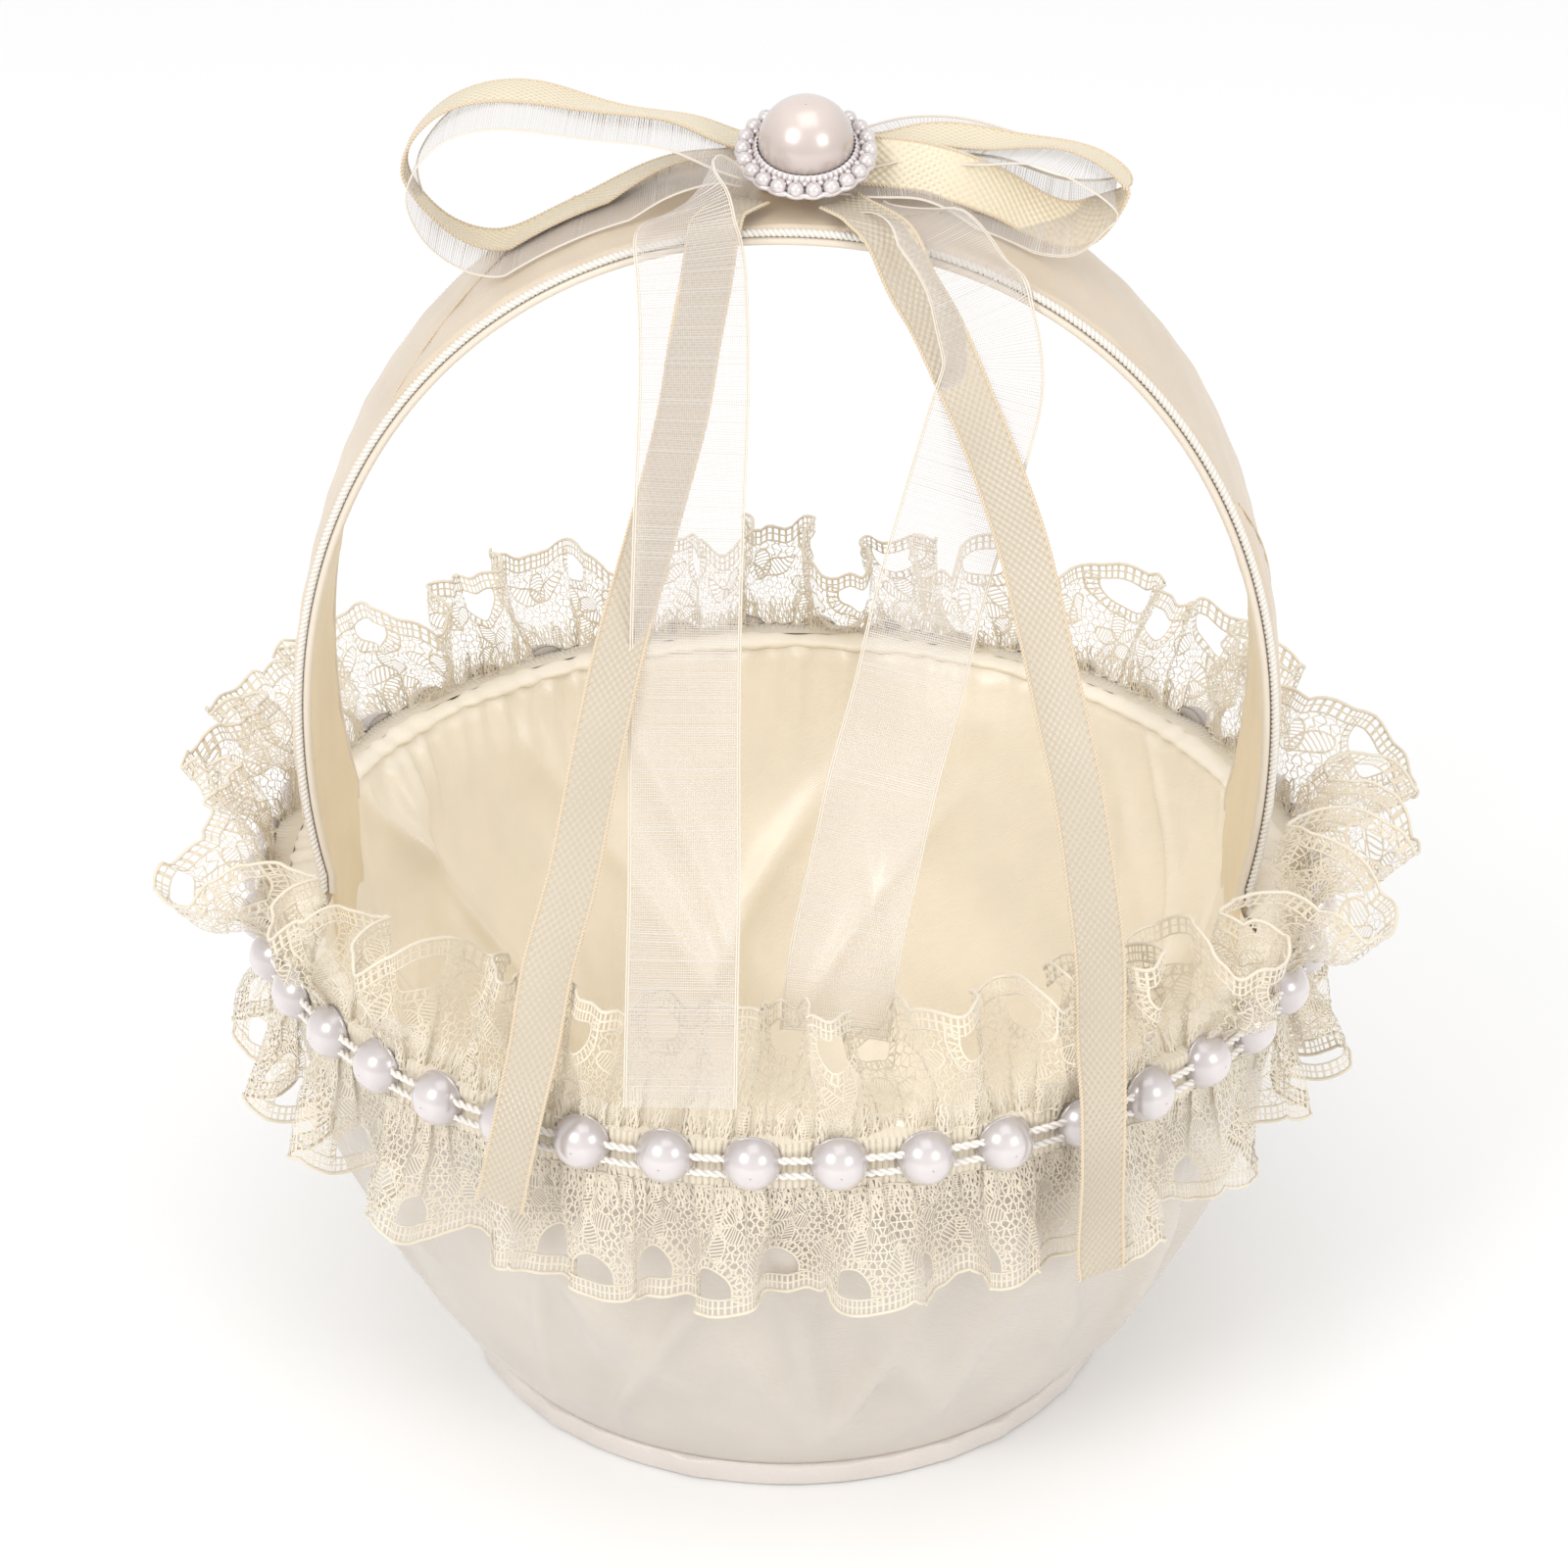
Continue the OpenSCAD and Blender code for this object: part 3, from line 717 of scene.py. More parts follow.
def brooch():
    big, sides = DOME_R, 96
    a = np.linspace(-0.35, math.pi / 2 - 0.01, 34)
    pearl_top = np.stack([np.cos(a) * big, 3 + np.sin(a) * big], -1)
    p, q = lathe(pearl_top, sides)
    # 0 at the dome's middle to 1 at its rim: the pearl material darkens its colour by this, as painted shade.
    share = np.linalg.norm(p[:, :2], axis=1) / big
    piece("brooch_pearl_dome", on_brooch(p), q, "pearl", ["brooch_pearl"],
          stacked(share, share), "pearl_dome")
    under = [(0.01, 0), (7.6, 0), (8.3, 0.15), (8.6, 0.5), (8.5, 0.9), (7.4, 1.05), (6.2, 1.1)]
    p, q = lathe(under, sides)
    piece("brooch_back_plate", on_brooch(p), q, "pearl", ["brooch_plate"], material="silvery")
    # The setting is a cup of close upright ridges.
    ridges, rows = 54, 7
    t = np.linspace(0, 1, rows)[:, None]
    a = np.linspace(0, TAU, ridges * 8, endpoint=False)[None, :]
    ridge = np.abs(np.cos(a * ridges / 2)) ** 0.7
    r = 6.5 + 0.75 * np.sin(math.pi * (0.15 + 0.75 * t)) * (0.35 + 0.65 * ridge) + 0.25 * (1 - t)
    cup = polar(r, a, PLATE_T + 1.75 * t)
    piece("brooch_ridged_cup", on_brooch(cup), grid_quads(rows, ridges * 8, wrap_columns=True),
          "pearl", ["brooch_collar"], material="silvery")
    parts = []
    for i in range(BEAD_COUNT):
        a = i * TAU / BEAD_COUNT
        p, q = ball(1.14, 12, 20)
        parts.append((p + polar(BEAD_RING_R, a, PLATE_T + 0.75), q))
        p, q = ball(0.42, 12, 12)
        parts.append((p + polar(BEAD_RING_R - 0.95, a + math.pi / BEAD_COUNT, PLATE_T + 1.05), q))
    ring = np.linspace(0, TAU, 200, endpoint=False)
    scallop = polar(BEAD_RING_R + 0.5 + 0.3 * np.abs(np.cos(ring * BEAD_COUNT / 2)), ring, PLATE_T + 0.25)
    parts.append(tube(scallop, 0.4, 8, *across(scallop, np.array([0, 0, 1.0]), closed=True), closed=True))
    p, q = joined(parts)
    piece("brooch_bead_ring", on_brooch(p), q, "pearl", ["brooch_beads"])


def bow_knot():
    """The folded middle of the bow, pressed between the brooch and the band."""
    t = np.linspace(0, 1, 15)[:, None]
    a = np.linspace(0, TAU, 160, endpoint=False)[None, :]
    pleats = 0.92 + 0.05 * np.sin(9 * a + 3 * t) + 0.04 * np.sin(4 * a - 5 * t)
    r = 5.2 * pleats * np.sin(math.pi * (0.12 + 0.76 * t)) ** 0.35
    r = np.concatenate([0.01 + 0 * a, r, 0.01 + 0 * a])
    reach = np.concatenate([[[0]], t, [[1]]])
    slope = math.tan(BROOCH_TILT)
    base = cad("bow_knot")[0][2] + 0.1
    x, y = r * np.cos(a), r * np.sin(a)
    top = BROOCH_AT[2] - 0.1 - BROOCH_AT[1] * slope + y * slope
    knot = stacked(x, y, base + (top - base) * reach)
    # The knot takes the brighter satin copy: painted light under the brooch.
    piece("bow_knot_folds", knot, grid_quads(len(r), 160, wrap_columns=True), "satin_ribbon",
          ["bow_knot"], stacked(a * 5, reach * 5), "satin_knot_painted_light")


brooch()
bow_knot()

# ---------- cloth that threads lie in ----------


class Cloth:
    """Cloth as a grid of points over its own length and width, in millimetres. Its threads are laid in it."""

    def __init__(self, points, length, width, closed=False):
        self.points, self.length, self.width, self.closed = points, length, width, closed
        run = np.roll(points, -1, 0) - np.roll(points, 1, 0) if closed else np.gradient(points, axis=0)
        self.normals = unit(np.cross(run, np.gradient(points, axis=1)))

    def at(self, places, lift=0.0):
        """The points at (length, width) places, lifted off the cloth."""
        s, t = places[..., 0], places[..., 1]
        rows, columns = self.points.shape[:2]
        if self.closed:
            i = (s / self.length * rows) % rows
        else:
            i = np.clip(s / self.length * (rows - 1), 0, rows - 1.0001)
        j = np.clip(t / self.width * (columns - 1), 0, columns - 1.0001)
        i0, j0 = np.floor(i).astype(int) % rows, np.floor(j).astype(int)
        i1, j1 = (i0 + 1) % rows, j0 + 1
        fi, fj = (i - np.floor(i))[..., None], (j - j0)[..., None]

        def mix(values):
            low = values[i0, j0] * (1 - fi) + values[i1, j0] * fi
            high = values[i0, j1] * (1 - fi) + values[i1, j1] * fi
            return low * (1 - fj) + high * fj

        return mix(self.points) + mix(self.normals) * np.asarray(lift)[..., None]


def square_to(lines):
    """The direction square to each line, in the flat cloth."""
    d = unit(np.gradient(lines, axis=1))
    return np.stack([-d[..., 1], d[..., 0]], -1)


def many_quads(many, size, quads):
    """The quads of one thing of that many points, again for each of many such things in a row."""
    return (np.arange(many)[:, None, None] * size + quads).reshape(-1, 4)


def flat_threads(cloth, lines, width, lift=0.0, keep=None):
    """Flat threads along lines of (length, width) places, all with as many points; keep drops stretches."""
    n = square_to(lines) * np.reshape(width, (-1, 1, 1)) / 2
    edges = np.stack([lines - n, lines + n], 2)
    many, long = lines.shape[:2]
    quads = many_quads(many, long * 2, grid_quads(long, 2))
    if keep is not None:
        middle = (lines[:, 1:] + lines[:, :-1]) / 2
        quads = quads[keep(middle[..., 0], middle[..., 1]).ravel()]
    return cloth.at(edges, lift).reshape(-1, 3), quads


def cords(cloth, lines, radius, sides=5):
    """Round threads along lines of (length, width) places."""
    n = square_to(lines)
    a = np.arange(sides) * TAU / sides
    places = lines[:, :, None] + radius * np.cos(a)[:, None] * n[:, :, None]
    many, long = lines.shape[:2]
    quads = many_quads(many, long * sides, grid_quads(long, sides, wrap_columns=True))
    return cloth.at(places, radius * np.sin(a)).reshape(-1, 3), quads


def used_only(points, quads):
    """Leaves out the points that no quad uses."""
    used, again = np.unique(quads, return_inverse=True)
    return points[used], again.reshape(-1, 4)


def surface_area(points, quads):
    """The area of some quads, in square millimetres."""
    a, b, c, d = (points[quads[:, k]] for k in range(4))
    halves = (np.linalg.norm(np.cross(*sides), axis=1) for sides in ((b - a, c - a), (c - a, d - a)))
    return float(sum(halves).sum() / 2)


# ---------- ribbons ----------

# Each ribbon's middle line: a place, and the direction of the ribbon's width there.
ROUTES = {
    "sheer_loop_left": [
        (-6, 0, 187.5, 0, 1, 0), (-20, 0, 191.5, 0, 1, 0), (-35, 0, 194.5, 0, 1, 0),
        (-46, 0, 192, 0, 1, 0), (-52, 0, 184.5, 0, 1, 0), (-49, 0, 176.5, 0, 1, 0),
        (-40, 0, 173, 0, 1, 0), (-28, 0, 177.5, 0, 1, 0), (-16, 0, 184, 0, 1, 0),
        (-6, 0, 186.2, 0, 1, 0),
    ],
    "satin_loop_left": [
        (-6, 4, 188.6, 0, 1, 0), (-20, 4, 192.6, 0, 1, 0), (-35, 4, 195.6, 0, 1, 0),
        (-47.4, 4, 193, 0, 1, 0), (-54.2, 4, 184.6, 0, 1, 0), (-50, 4, 175.8, 0, 1, 0),
        (-40, 4, 171.9, 0, 1, 0), (-28, 4, 176.4, 0, 1, 0), (-16, 4, 182.9, 0, 1, 0),
        (-6, 4, 185.2, 0, 1, 0),
    ],
    "sheer_loop_right": [
        (6, 2, 187.5, 0, 1, 0), (18, 7, 187.9, 0, 1, 0), (30, 4, 188, 0, 1, 0), (39, 1, 186, 0, 1, 0),
        (45.3, 0.5, 182.3, 0, 1, 0), (39, 1.5, 178.6, 0, 0.9, 0.4), (29, 1.2, 182.4, 0, 0.85, 0.5),
        (17, 0.8, 184.6, 0, 1, 0), (6, 0, 185.6, 0, 1, 0),
    ],
    "satin_loop_right": [
        (6, 4, 188, 0, 1, 0), (18, 5, 188.9, 0, 1, 0), (30, 5, 189.1, 0, 1, 0),
        (39.6, 4, 187.1, 0, 1, 0), (46.9, 3, 182.9, 0, 1, 0), (39.5, 1, 178, 0, 0.7, 0.7),
        (29, -1, 183.3, 0, 0.5, 0.87), (17, -2, 187.6, 0, 0.5, 0.87), (6, -1, 188.2, 0, 0.6, 0.8),
    ],
    "sheer_tail_left": [
        (-5, -7, 185.2, 0.7, 0.1, 0.5), (-12.5, -12.6, 186.5, 0.7, 0.1, 0.6),
        (-13.2, -16.6, 184, 0.8, 0, 0.6), (-12.4, -19.4, 177, 1, 0, 0.15), (-12, -24, 164, 1, 0, 0),
        (-12.5, -34, 146, 1, 0.1, 0), (-12.5, -48, 126, 1, 0, 0), (-12, -61, 110, 1, 0, 0),
        (-12, -69, 101, 1, 0, 0), (-12, -75, 93, 1, 0, 0), (-12, -79, 85, 1, 0, 0),
    ],
    "satin_tail_left": [
        (-5, -8, 184, 1, 0.1, 0), (-8, -12, 183.9, 1, 0, 0), (-9.5, -15.6, 182.9, 1, 0, 0),
        (-10.5, -18, 177, 1, 0, 0), (-12, -20.5, 169, 1, 0, 0.1), (-13.5, -24, 160, 1, 0, 0.2),
        (-16, -29, 151, 1, 0, 0.2), (-18.5, -34.5, 143, 1, 0, 0.2), (-21, -41, 135, 1, 0, 0.2),
        (-23, -48, 127, 1, 0, 0.2), (-25, -55, 118, 1, 0, 0.2), (-27, -61.5, 109, 1, 0, 0.2),
        (-30, -67, 99, 1, -0.1, 0.1), (-31.5, -72.5, 90.5, 1, -0.3, 0), (-33, -76, 84, 1, -0.4, 0),
        (-35, -77.3, 75, 1, -0.4, 0), (-36.5, -77, 68, 1, -0.4, 0),
    ],
    "satin_tail_right": [
        (7, -9, 185, 1, 0.3, 0), (13.6, -16, 183, 1, 0.2, 0), (17, -18.5, 177, 1, 0, 0),
        (20.5, -20.5, 171.5, 1, 0, 0), (24.5, -24, 163.5, 1, 0, -0.2), (28.5, -29, 155.5, 1, 0, -0.2),
        (32, -35.5, 147.5, 1, 0, -0.2), (35, -43, 138, 1, 0, -0.2), (37.5, -49, 129, 1, 0, -0.2),
        (40, -54.5, 119, 1, 0.1, -0.1), (42, -59, 107.5, 1, 0.2, 0), (43.3, -62, 97.5, 1, 0.3, 0),
        (43.7, -66.5, 89, 1, 0.4, 0), (44, -70, 82.5, 1, 0.5, 0), (44, -71.7, 75, 1, 0.5, 0),
        (44.3, -71.7, 65, 1, 0.5, 0), (44.7, -71, 54, 1, 0.5, 0),
    ],
    "sheer_tail_right": [
        (11.5, -9, 184, 1, 0.3, -0.1), (19, -13, 183, 1, 0.3, -0.3), (25, -18, 176, 1, 0.2, -0.6),
        (28, -21, 167, 0.9, 0.3, -0.3), (26, -26, 158, 1, 0.2, 0.2), (21, -34, 142, 1, 0, 0.3),
        (15, -46, 120, 1, 0, 0.3), (11, -55, 105, 1, 0, 0.3), (9, -60, 95, 1, 0, 0.2),
        (8, -62, 86, 1, 0, 0.1),
    ],
}


def ribbon_line(name, step=0.5):
    """A ribbon's distance along, its middle line, the direction of its width and its face."""
    route = np.array(ROUTES[name], float)
    at, middle, wide = evenly(smooth_curve(route[:, :3], 40), step, smooth_curve(route[:, 3:], 40))
    wide, face = across(middle, wide)
    return at, middle, wide, face


def off_band(points, gap):
    """Points again, moved out of the handle where they would run into it."""
    _, line, out = hoop(0.6, FOOT_LOW)
    top = line[:, 2] > 150
    line, out = line[top], out[top]
    flat = points.reshape(-1, 3).copy()
    i = ((flat[:, None, [0, 2]] - line[None][..., [0, 2]]) ** 2).sum(-1).argmin(1)
    off = ((flat - line[i]) * out[i]).sum(-1)
    over = 1 - ease(np.abs(flat[:, 1]), BAND_W / 2, BAND_W / 2 + 2)
    need = np.maximum(WRAP_T / 2 + 0.7 + gap - off, 0) * over * (off > -3) * (flat[:, 2] > 160)
    return (flat + out[i] * need[:, None]).reshape(points.shape)


def ribbon_cloth(name, width, cup, ruck, seed, columns=13):
    """A ribbon as cloth: cup curls its edges, and ruck makes them waver."""
    at, middle, wide, face = ribbon_line(name)
    random = np.random.default_rng(seed)
    w = np.linspace(-0.5, 0.5, columns)
    shift = np.zeros((len(at), columns))
    for _ in range(5):
        long, phase, tilt = random.uniform(14, 60), random.uniform(0, TAU), random.normal(0, 1.6)
        shift += random.normal(0, ruck) * np.sin(TAU * at[:, None] / long + phase + tilt * w)
    ends = ease(at, 0, 12)[:, None] * ease(at[-1] - at, 0, 3)[:, None]
    high = shift * ends + cup * (4 * w**2 - 0.33)
    # The left loop's lower run of satin is seen from its other side, and stands off its organza there.
    if name == "satin_loop_left":
        high = high + 2.2 * ease(at / at[-1], 0.42, 0.58)[:, None]
    # The sheer tails are bunched where they leave the knot.
    spread = 0.45 + 0.55 * ease(at, 0, 9) if "sheer_tail" in name else np.ones(len(at))
    over = spread[:, None] * w * width
    points = middle[:, None] + wide[:, None] * over[..., None] + face[:, None] * high[..., None]
    return Cloth(off_band(points, 1.1 if width == SATIN_W else 0.4), float(at[-1]), width)


def lines_along(cloth, places, step):
    """Straight threads that run the length of a cloth, at those places across it."""
    s = np.linspace(0, cloth.length, max(2, round(cloth.length / step)))
    return stacked(s, np.asarray(places)[:, None])


def lines_across(places, low, high, count):
    """Straight threads across a cloth, at those places along it."""
    return stacked(np.asarray(places)[:, None], np.linspace(low, high, count))


def sheer_ribbon(name, seed, cup, ruck):
    """Organza: a fine open weave of single threads, with a corded selvedge on each side."""
    cloth = ribbon_cloth(name, SHEER_W, cup, ruck, seed)
    random = np.random.default_rng(seed)
    warp = np.linspace(0.8, SHEER_W - 0.8, 46)
    weft = np.arange(0.15, cloth.length, 0.33)
    weft = weft + random.normal(0, 0.03, len(weft))
    thick = 0.06 + 0.04 * random.random(len(weft)) + 0.06 * (random.random(len(weft)) < 0.12)
    edge = [0.12, 0.42, SHEER_W - 0.42, SHEER_W - 0.12]
    weave = joined([
        flat_threads(cloth, lines_along(cloth, warp, 1.4), 0.06, 0.03),
        flat_threads(cloth, lines_across(weft, 0.1, SHEER_W - 0.1, 12), thick, -0.03),
    ])
    points, quads = joined([weave, cords(cloth, lines_along(cloth, edge, 0.9), 0.12)])
    ribbon = piece(name + "_organza", points, quads, "organza", [name], edge=(len(weave[1]), "organza_edge"))
    area = surface_area(points, quads)
    return ribbon, (SHEER_W * MM, cloth.length * MM), min(area, SHEER_W * cloth.length) * MM**2


def satin_ribbon(name, seed, cup, ruck):
    """Satin ribbon: a close woven face with a beaded selvedge on each side."""
    cloth = ribbon_cloth(name, SATIN_W, cup, ruck, seed)
    s = np.linspace(0, cloth.length, max(2, round(cloth.length / 0.5)))
    t = np.linspace(0.2, SATIN_W - 0.2, 13)
    places = stacked(s[:, None], t)
    quads = grid_quads(len(s), len(t))
    faces = joined([(cloth.at(places, SATIN_T / 2), quads), (cloth.at(places, -SATIN_T / 2), quads[:, ::-1])])
    edges = []
    for place in (0.2, SATIN_W - 0.2):
        run = np.linspace(0, cloth.length, round(cloth.length / 0.2))
        path = cloth.at(stacked(run, place))
        wide = cloth.at(stacked(run, place + 0.1)) - path
        edges.append(twisted(path, wide, 0.3, 1.1, sides=5))
    points, quads = joined([faces, *edges])
    own = np.zeros((len(points), 2))
    own[:len(faces[0])] = np.concatenate([places.reshape(-1, 2)] * 2)
    # The loops take the brighter satin copy: painted light.
    look = "satin_loop_painted_light" if "loop" in name else "satin_ribbon"
    edge = (len(faces[1]), "selvedge")
    return piece(name + "_ribbon", points, quads, "satin_ribbon", [name], own, look, edge)


def bow():
    """The bow's two loops and four tails."""
    for i, side in enumerate(("left", "right")):
        satin_piece = satin_ribbon("satin_loop_" + side, 60 + i, 0.2, 0.25)
        ribbon, flat, area = sheer_ribbon("sheer_loop_" + side, 60 + i, 0.2, 0.25)
    for i, side in enumerate(("left", "right")):
        ribbon, flat, area = sheer_ribbon("sheer_tail_" + side, 70 + i, 0.4, 0.3)
        ribbon = satin_ribbon("satin_tail_" + side, 80 + i, 0.2, 0.15)


bow()

# ---------- lace ----------

SCALLOP = 20
SCALLOPS = 54
LACE_LENGTH = SCALLOP * SCALLOPS


def edge_at(s):
    """The lace's scalloped edge."""
    return LACE_W - 0.35 - 1.9 * (1 - np.abs(np.sin(math.pi * s / SCALLOP)) ** 0.8)


def repeat(lines):
    """The lines of one scallop, in every scallop."""
    lines = np.asarray(lines, float)
    shift = np.arange(SCALLOPS)[:, None, None, None] * np.array([SCALLOP, 0])
    return (lines[None] + shift).reshape(-1, *lines.shape[1:])


def lengths(step):
    """Places along the whole length of the lace, a step apart."""
    return np.arange(0, LACE_LENGTH + step / 2, step)


ARCH_AT, ARCH_WIDE, ARCH_TALL = (SCALLOP / 2, LACE_W - 3.9), 3.7, 3.7


def arch_line(grow=0.0):
    """The outline of a scallop's arch, or of one that much larger."""
    a = np.linspace(-0.3, math.pi + 0.3, 19)
    s = ARCH_AT[0] + (ARCH_WIDE + grow) * np.cos(a)
    return np.stack([s, ARCH_AT[1] - (ARCH_TALL + grow) * np.sin(a)], -1)


def in_arch(s, t, grow=0.0):
    s = s % SCALLOP
    inside = ((s - ARCH_AT[0]) / (ARCH_WIDE + grow)) ** 2 + ((t - ARCH_AT[1]) / (ARCH_TALL + grow)) ** 2 < 1
    return inside & (t < LACE_W)


# The petals of a scallop: a place, the petal's distance and direction from it, and its half length and width.
PETALS = [(SCALLOP / 2, 7.6, 2.7, k * TAU / 6 + 0.3, 2.3, 1.25) for k in range(6)] + [
    (0, 10.5, 3.0, 0.75, 2.9, 1.2), (0, 10.5, 3.0, math.pi - 0.75, 2.9, 1.2),
    (0, 9.6, 3.1, math.pi / 2, 2.6, 1.3), (0, 5.2, 1.6, -math.pi / 2, 1.9, 1.0),
]


def petal_frame(petal):
    """The middle of a petal, its long direction and its short one, and half its length and width."""
    s, t, away, turn, long, short = petal
    d = np.array([math.cos(turn), math.sin(turn)])
    return np.array([s, t]) + away * d, d, np.array([-d[1], d[0]]), long, short


def in_petals(s, t):
    """True inside any petal, in this scallop or the next."""
    inside = np.zeros(s.shape, bool)
    for petal in PETALS:
        middle, d, n, long, short = petal_frame(petal)
        for shift in (0, SCALLOP):
            x, y = s % SCALLOP - middle[0] - shift, t - middle[1]
            inside |= ((x * d[0] + y * d[1]) / long) ** 2 + ((x * n[0] + y * n[1]) / short) ** 2 < 1
    return inside


def petal_threads(cloth):
    """Each petal is an outline with close threads across it."""
    parts = []
    a = np.linspace(0, TAU, 15)
    rows = np.linspace(-0.88, 0.88, 9)
    for petal in PETALS:
        middle, d, n, long, short = petal_frame(petal)
        ring = middle + long * np.cos(a)[:, None] * d + short * np.sin(a)[:, None] * n
        parts.append(flat_threads(cloth, repeat(ring[None]), 0.24, 0.1))
        reach = np.sqrt(1 - rows**2)
        ends = np.linspace(-1, 1, 3)
        fill = middle + long * rows[:, None, None] * d + short * (reach[:, None] * ends)[..., None] * n
        parts.append(flat_threads(cloth, repeat(fill), 0.2, 0.05))
    return parts


def in_net(s, t):
    """True where the lace is plain net."""
    return ~in_arch(s, t, 0.4) & ~in_petals(s, t) & (t < edge_at(s) - 2.3)


def lace(name, cloth, nodes, bold):
    """Knitted lace: a fine wavy net, hatched petals, an open arch in each scallop and a laddered edge.
    The net's threads are as many times their usual width as bold says."""
    t = np.linspace(1.8, LACE_W - 3.2, 26)
    column = np.arange(24) * SCALLOP / 24
    sway = 0.3 * np.sin(TAU * t / 1.9 + math.pi * (np.arange(24)[:, None] % 2))
    net = repeat(stacked(column[:, None] + sway, t))
    column = np.arange(60) * SCALLOP / 60
    t = 0.4 + np.linspace(0, 1, 6) * (2.9 + 3.1 * np.sin(5.3 * column) ** 2)[:, None]
    root = repeat(np.stack([column[:, None] + 0.25 * np.sin(7.1 * column[:, None] + 2 * t), t], -1))
    x = np.arange(25)[:, None] * 0.8
    bars = repeat(stacked(x, edge_at(x) - np.array([2.5, 1.2, 0.1])))
    stubs = repeat(stacked(x, np.array([0.2, 2.0])))
    arch, arch_out = arch_line(), arch_line(1.5)
    spokes = np.stack([arch, arch_out], 1)
    close, wide = lengths(0.8), lengths(1.0)
    edge = edge_at(close)
    parts = [
        flat_threads(cloth, net, 0.17 * bold, 0.0, in_net),
        flat_threads(cloth, root, 0.28, 0.03),
        cords(cloth, stacked(close, edge)[None], 0.28),
        cords(cloth, stacked(close, edge - 2.5)[None], 0.16, 4),
        flat_threads(cloth, stacked(close, edge - 1.25)[None], 0.26, 0.06),
        flat_threads(cloth, bars, 0.3, 0.03),
        flat_threads(cloth, repeat(arch[None]), 0.28, 0.12),
        flat_threads(cloth, repeat(arch_out[None]), 0.25, 0.12),
        flat_threads(cloth, repeat(spokes), 0.28, 0.08),
        *petal_threads(cloth),
        cords(cloth, stacked(wide, 0.3)[None], 0.25, 4),
        cords(cloth, stacked(wide, 1.9)[None], 0.22, 4),
        flat_threads(cloth, stubs, 0.4, 0.05),
    ]
    s = lengths(0.84)
    for row in np.arange(2.8, LACE_W - 3.6, 1.15):
        line = stacked(s, row + 0.25 * np.sin(TAU * s / 1.67))[None]
        parts.append(flat_threads(cloth, line, 0.12 * bold, -0.04, in_net))
    points, quads = used_only(*joined(parts))
    strip = piece(name, points, quads, "lace", nodes)
    area = min(surface_area(points, quads), 0.98 * LACE_W * LACE_LENGTH) * MM**2
    return strip


ARC = 0.5
ROWS = int(LACE_LENGTH / ARC)
WIDTH_STEPS = 22
GATHER = TAU * HEADING_R / LACE_LENGTH


def wave_rows(folds, pleats, seed, steepest):
    """Where each row of the gathered lace lies: its distance round the ring and off it.
    The cloth keeps its length, so wide folds at the edge give way to fine pleats at the heading."""
    random = np.random.default_rng(seed)
    steep_table = np.linspace(0, 2.4, 241)
    short_table = np.cos(steep_table[:, None] * np.sin(np.linspace(0, TAU, 200, endpoint=False))).mean(1)
    knots = np.concatenate([[0], np.cumsum(random.uniform(0.7, 1.4, folds))])
    s = np.arange(ROWS) * ARC
    count = np.interp(s, knots / knots[-1] * LACE_LENGTH, np.arange(folds + 1))
    drift = count - s / LACE_LENGTH * folds
    wide_phase = TAU * (s / LACE_LENGTH * folds + rolling(drift, 25))
    steep_of = random.uniform(0.66, 1.0, folds) * steepest
    steep = rolling(steep_of[(count.astype(int)) % folds], 45)
    fine_phase = TAU * (s / LACE_LENGTH * pleats) + 1.2 * ripple(TAU * s / LACE_LENGTH, 6, 40, seed + 1)
    rows = []
    for u in np.linspace(0, 1, WIDTH_STEPS):
        wide = steep * ease(u, -0.25, 0.75) ** 0.8
        left = np.clip(GATHER / np.interp(wide, steep_table, short_table), 0.05, 1)
        fine = np.interp(-left, -short_table, steep_table) * (1 - 0.85 * ease(u, 0.25, 0.8))
        turn = wide * np.sin(wide_phase) + fine * np.sin(fine_phase)
        run = np.cos(turn)
        run = run * GATHER / rolling(run, 241)
        away = np.cumsum(np.sin(turn)) * ARC
        rows.append((np.cumsum(run) * ARC, away - rolling(away, 201)))
    x, y = np.stack([r[0] for r in rows], 1), np.stack([r[1] for r in rows], 1)
    x = x / (x[-1:] + x[:1]) * TAU * HEADING_R
    return x, y, TAU * count / folds


def fall(y, lean, start_r, start_z, way):
    """The radius and height of each row of lace that starts on the heading, leans and keeps its width."""
    step = LACE_W / (WIDTH_STEPS - 1)
    out = np.diff(y, axis=1) + step * np.sin(lean[:, 1:])
    out = np.clip(out, -0.95 * step, 0.95 * step)
    up = way * np.sqrt(step**2 - out**2)
    first = 0.4 * y[:, :1]
    r = start_r + first + np.concatenate([0 * first, np.cumsum(out, 1)], 1)
    return r, start_z + np.concatenate([0 * first, np.cumsum(up, 1)], 1)


def keep_clear(points, name, width, gap, side):
    """Moves lace out of a ribbon's way: side 1 keeps it behind the ribbon's face, and -1 before it."""
    _, middle, wide, face = ribbon_line(name, 1.5)
    flat = points.reshape(-1, 3)
    low, high = middle.min(0) - 14, middle.max(0) + 14
    near = np.flatnonzero(((flat > low) & (flat < high)).all(1))
    if not len(near):
        return points
    p = flat[near]
    i = ((p[:, None] - middle[None]) ** 2).sum(-1).argmin(1)
    off = p - middle[i]
    lateral, depth = np.abs((off * wide[i]).sum(-1)), (off * face[i]).sum(-1) * side
    beyond = np.abs((off * np.cross(wide[i], face[i])).sum(-1))
    push = np.maximum(depth + gap, 0) * (1 - ease(lateral, width / 2 + 0.5, width / 2 + 5))
    push = push * (1 - ease(beyond, 1, 5))
    flat[near] = p - face[i] * (push * side)[:, None]
    return flat.reshape(points.shape)


def upper_lean(angle):
    """How far the upper ruffle leans out, as in the CAD: in at the front, out at the sides."""
    s2, c2 = np.sin(angle) ** 2, np.cos(angle) ** 2
    return np.radians(36 * c2 + np.where(np.sin(angle) < 0, -36, -7) * s2)


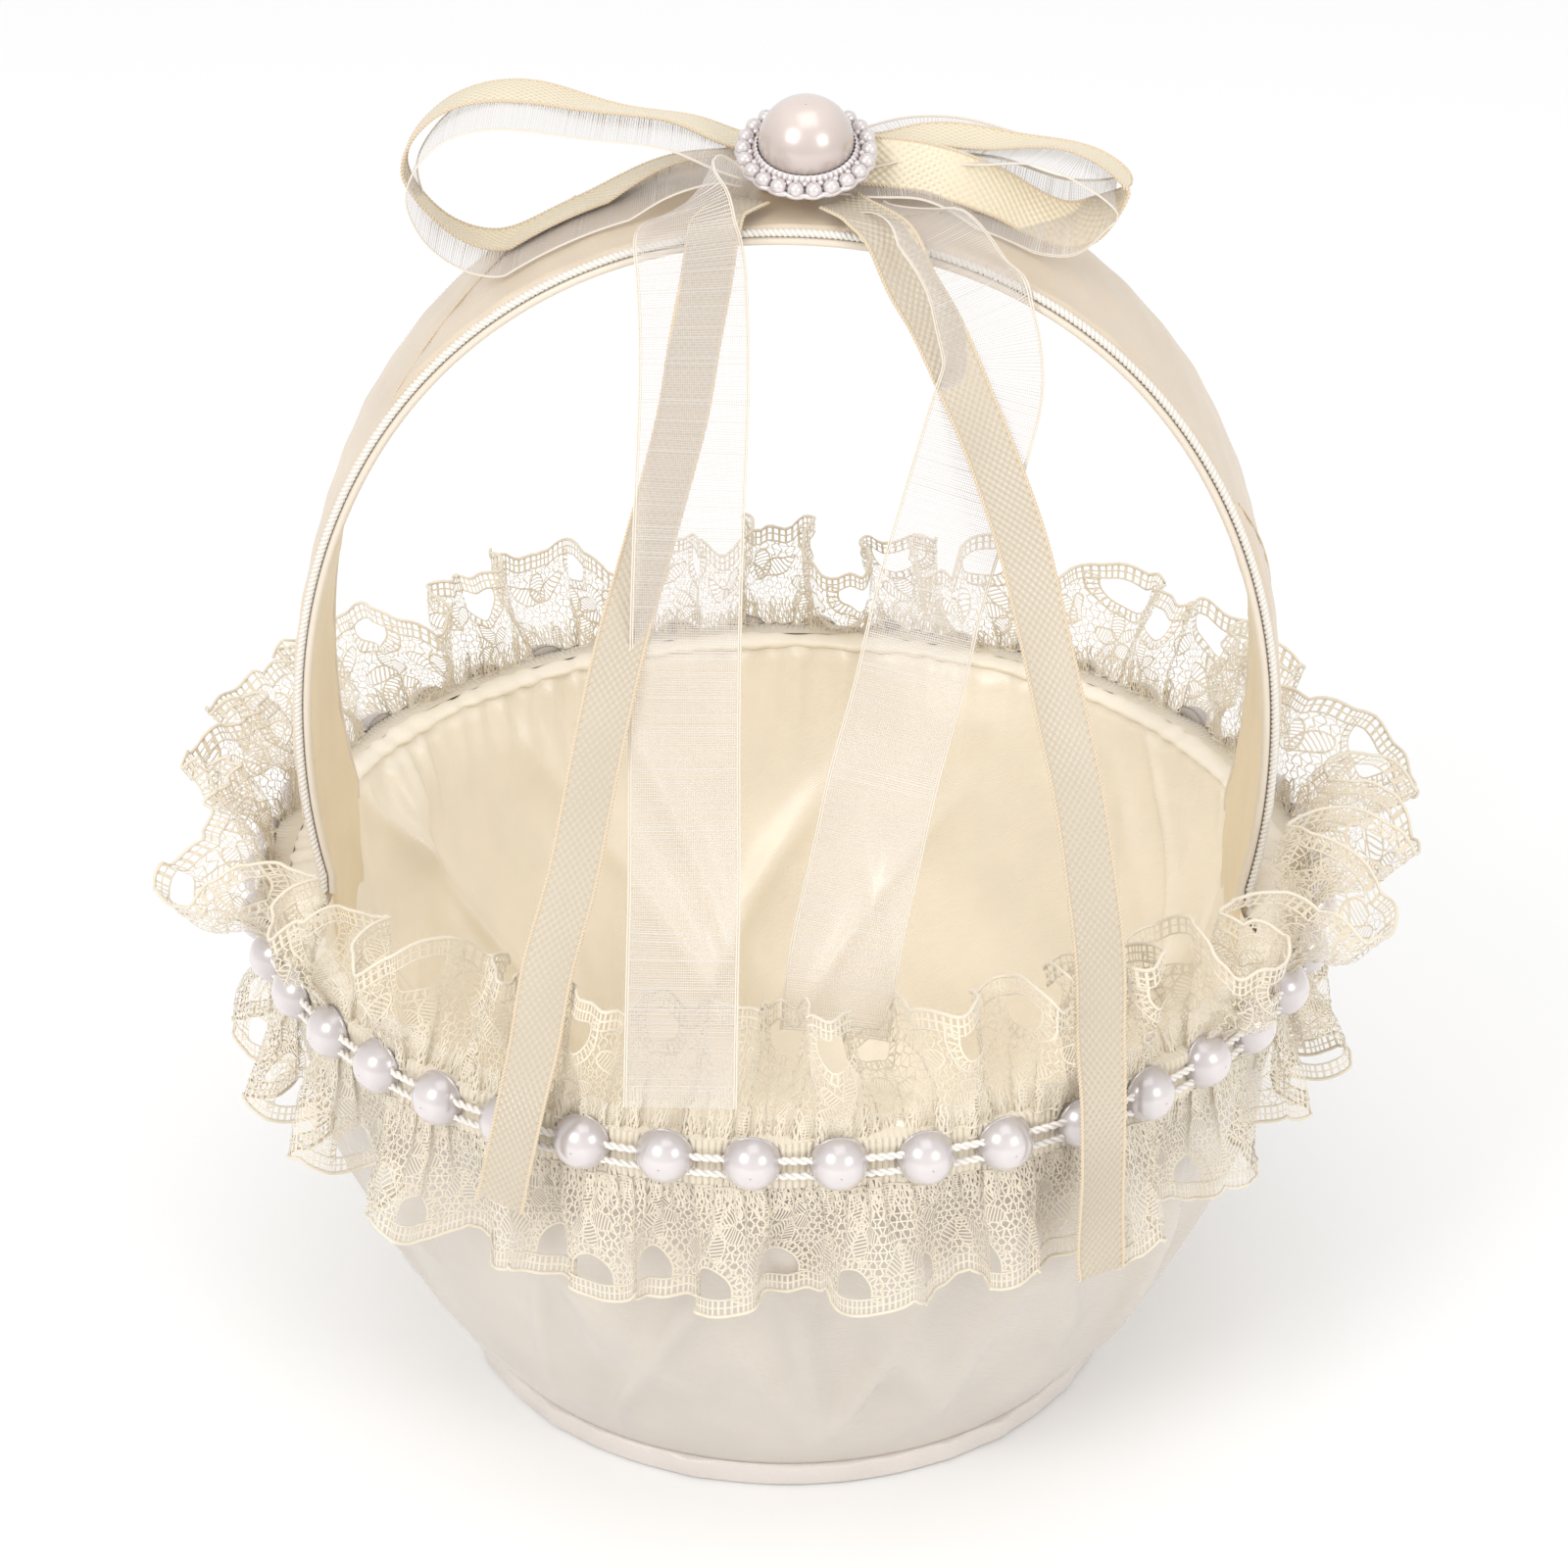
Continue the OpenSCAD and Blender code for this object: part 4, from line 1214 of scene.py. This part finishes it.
def upper_ruffle():
    x, y, turn = wave_rows(27, 176, 101, 1.95)
    angle = x / HEADING_R
    u = np.linspace(0, 1, WIDTH_STEPS)[None, :]
    flop = np.radians(9) * ripple(turn, 7, 30, 102)[:, None]
    lean = (upper_lean(angle) + flop) * (0.45 + 0.75 * u)
    r, z = fall(y, lean, HEADING_R - 0.8, HEADING_HIGH - 1.6, 1)
    points = polar(r, angle, z)
    for name, width, side in (("sheer_tail_left", SHEER_W, 1), ("satin_tail_left", SATIN_W, 1),
                              ("satin_tail_right", SATIN_W, 1), ("sheer_tail_right", SHEER_W, -1)):
        points = keep_clear(points, name, width, 0.7, side)
    return Cloth(points, LACE_LENGTH, LACE_W, closed=True)


def lower_ruffle():
    x, y, turn = wave_rows(29, 184, 111, 1.8)
    angle = x / HEADING_R + 0.03
    u = np.linspace(0, 1, WIDTH_STEPS)[None, :]
    flop = np.radians(6) * ripple(turn, 7, 30, 112)[:, None]
    lean = (np.radians(7) + flop) * (0.5 + 0.7 * u)
    r, z = fall(0.62 * y, lean, HEADING_R - 0.6, HEADING_LOW + 1.4, -1)
    points = polar(np.maximum(r, bowl_r(z) + 1.9), angle, z)
    for name in ("satin_tail_left", "satin_tail_right"):
        points = keep_clear(points, name, SATIN_W, 0.7, 1)
    return Cloth(points, LACE_LENGTH, LACE_W, closed=True)


def lace_heading():
    """The ribbed tape of the two ruffles behind the pearls."""
    ribs = 520
    a = np.linspace(0, TAU, ribs * 6, endpoint=False)[None, :]
    z = np.linspace(HEADING_LOW, HEADING_HIGH, 14)
    z = np.concatenate([[HEADING_LOW - 0.2] * 2, z, [HEADING_HIGH + 0.3] * 2])[:, None]
    inner = np.zeros_like(z)
    inner[[0, -1]] = 1
    rib = np.abs(np.sin(a * ribs / 2)) ** 0.6
    rails = np.exp(-(((z - HEADING_LOW - 1) / 0.5) ** 2)) + np.exp(-(((z - HEADING_HIGH + 1) / 0.5) ** 2))
    ribbed = 0.45 * rib + 0.25 * rails + 0.15 * ripple(a, 30, 70, 121)
    r = HEADING_R - 0.7 - 2.9 * inner + (1 - inner) * ribbed
    quads = grid_quads(len(z), ribs * 6, wrap_columns=True)
    return piece("lace_heading_tape", polar(r, a, z), quads, "lace", ["lace_heading"])


heading = lace_heading()
lace("upper_ruffle_lace", upper_ruffle(), ["upper_ruffle"], 1.0)
lace("lower_ruffle_lace", lower_ruffle(), ["lower_ruffle"], 1.6)

# ---------- floor and light ----------


def floor():
    mesh = bpy.data.meshes.new("floor")
    size = 3.0
    corners = [(-size, -size, 0), (size, -size, 0), (size, size, 0), (-size, size, 0)]
    mesh.from_pydata(corners, [], [(0, 1, 2, 3)])
    mesh.materials.append(principled("floor", (0.94, 0.94, 0.94), Roughness=0.9, Specular_IOR_Level=0.1)[0])
    ground = bpy.data.objects.new("floor", mesh)
    bpy.context.scene.collection.objects.link(ground)
    ground.location.z = -0.0002


def softbox(name, angle, raised, away, size, power):
    """A square light that faces the basket, placed by its angles in degrees and its distance."""
    light = bpy.data.lights.new(name, "AREA")
    light.shape = "SQUARE"
    light.size = size
    light.energy = power
    middle = np.array([0, 0, 90.0])
    place = around(math.radians(angle), math.radians(raised), away, middle)
    aim(bpy.data.objects.new(name, light), place, middle)


floor()
softbox("key", -36, 34, 1100, 0.4, 3.8)
softbox("fill", 44, 24, 1100, 0.35, 2.1)
softbox("top", 15, 76, 1200, 0.8, 1.5)
world = bpy.data.worlds.new("studio")
bpy.context.scene.world = world
world.use_nodes = True
world.node_tree.nodes["Background"].inputs["Color"].default_value = (1, 1, 1, 1)
world.node_tree.nodes["Background"].inputs["Strength"].default_value = 0.92
bpy.context.scene.view_settings.view_transform = "Standard"
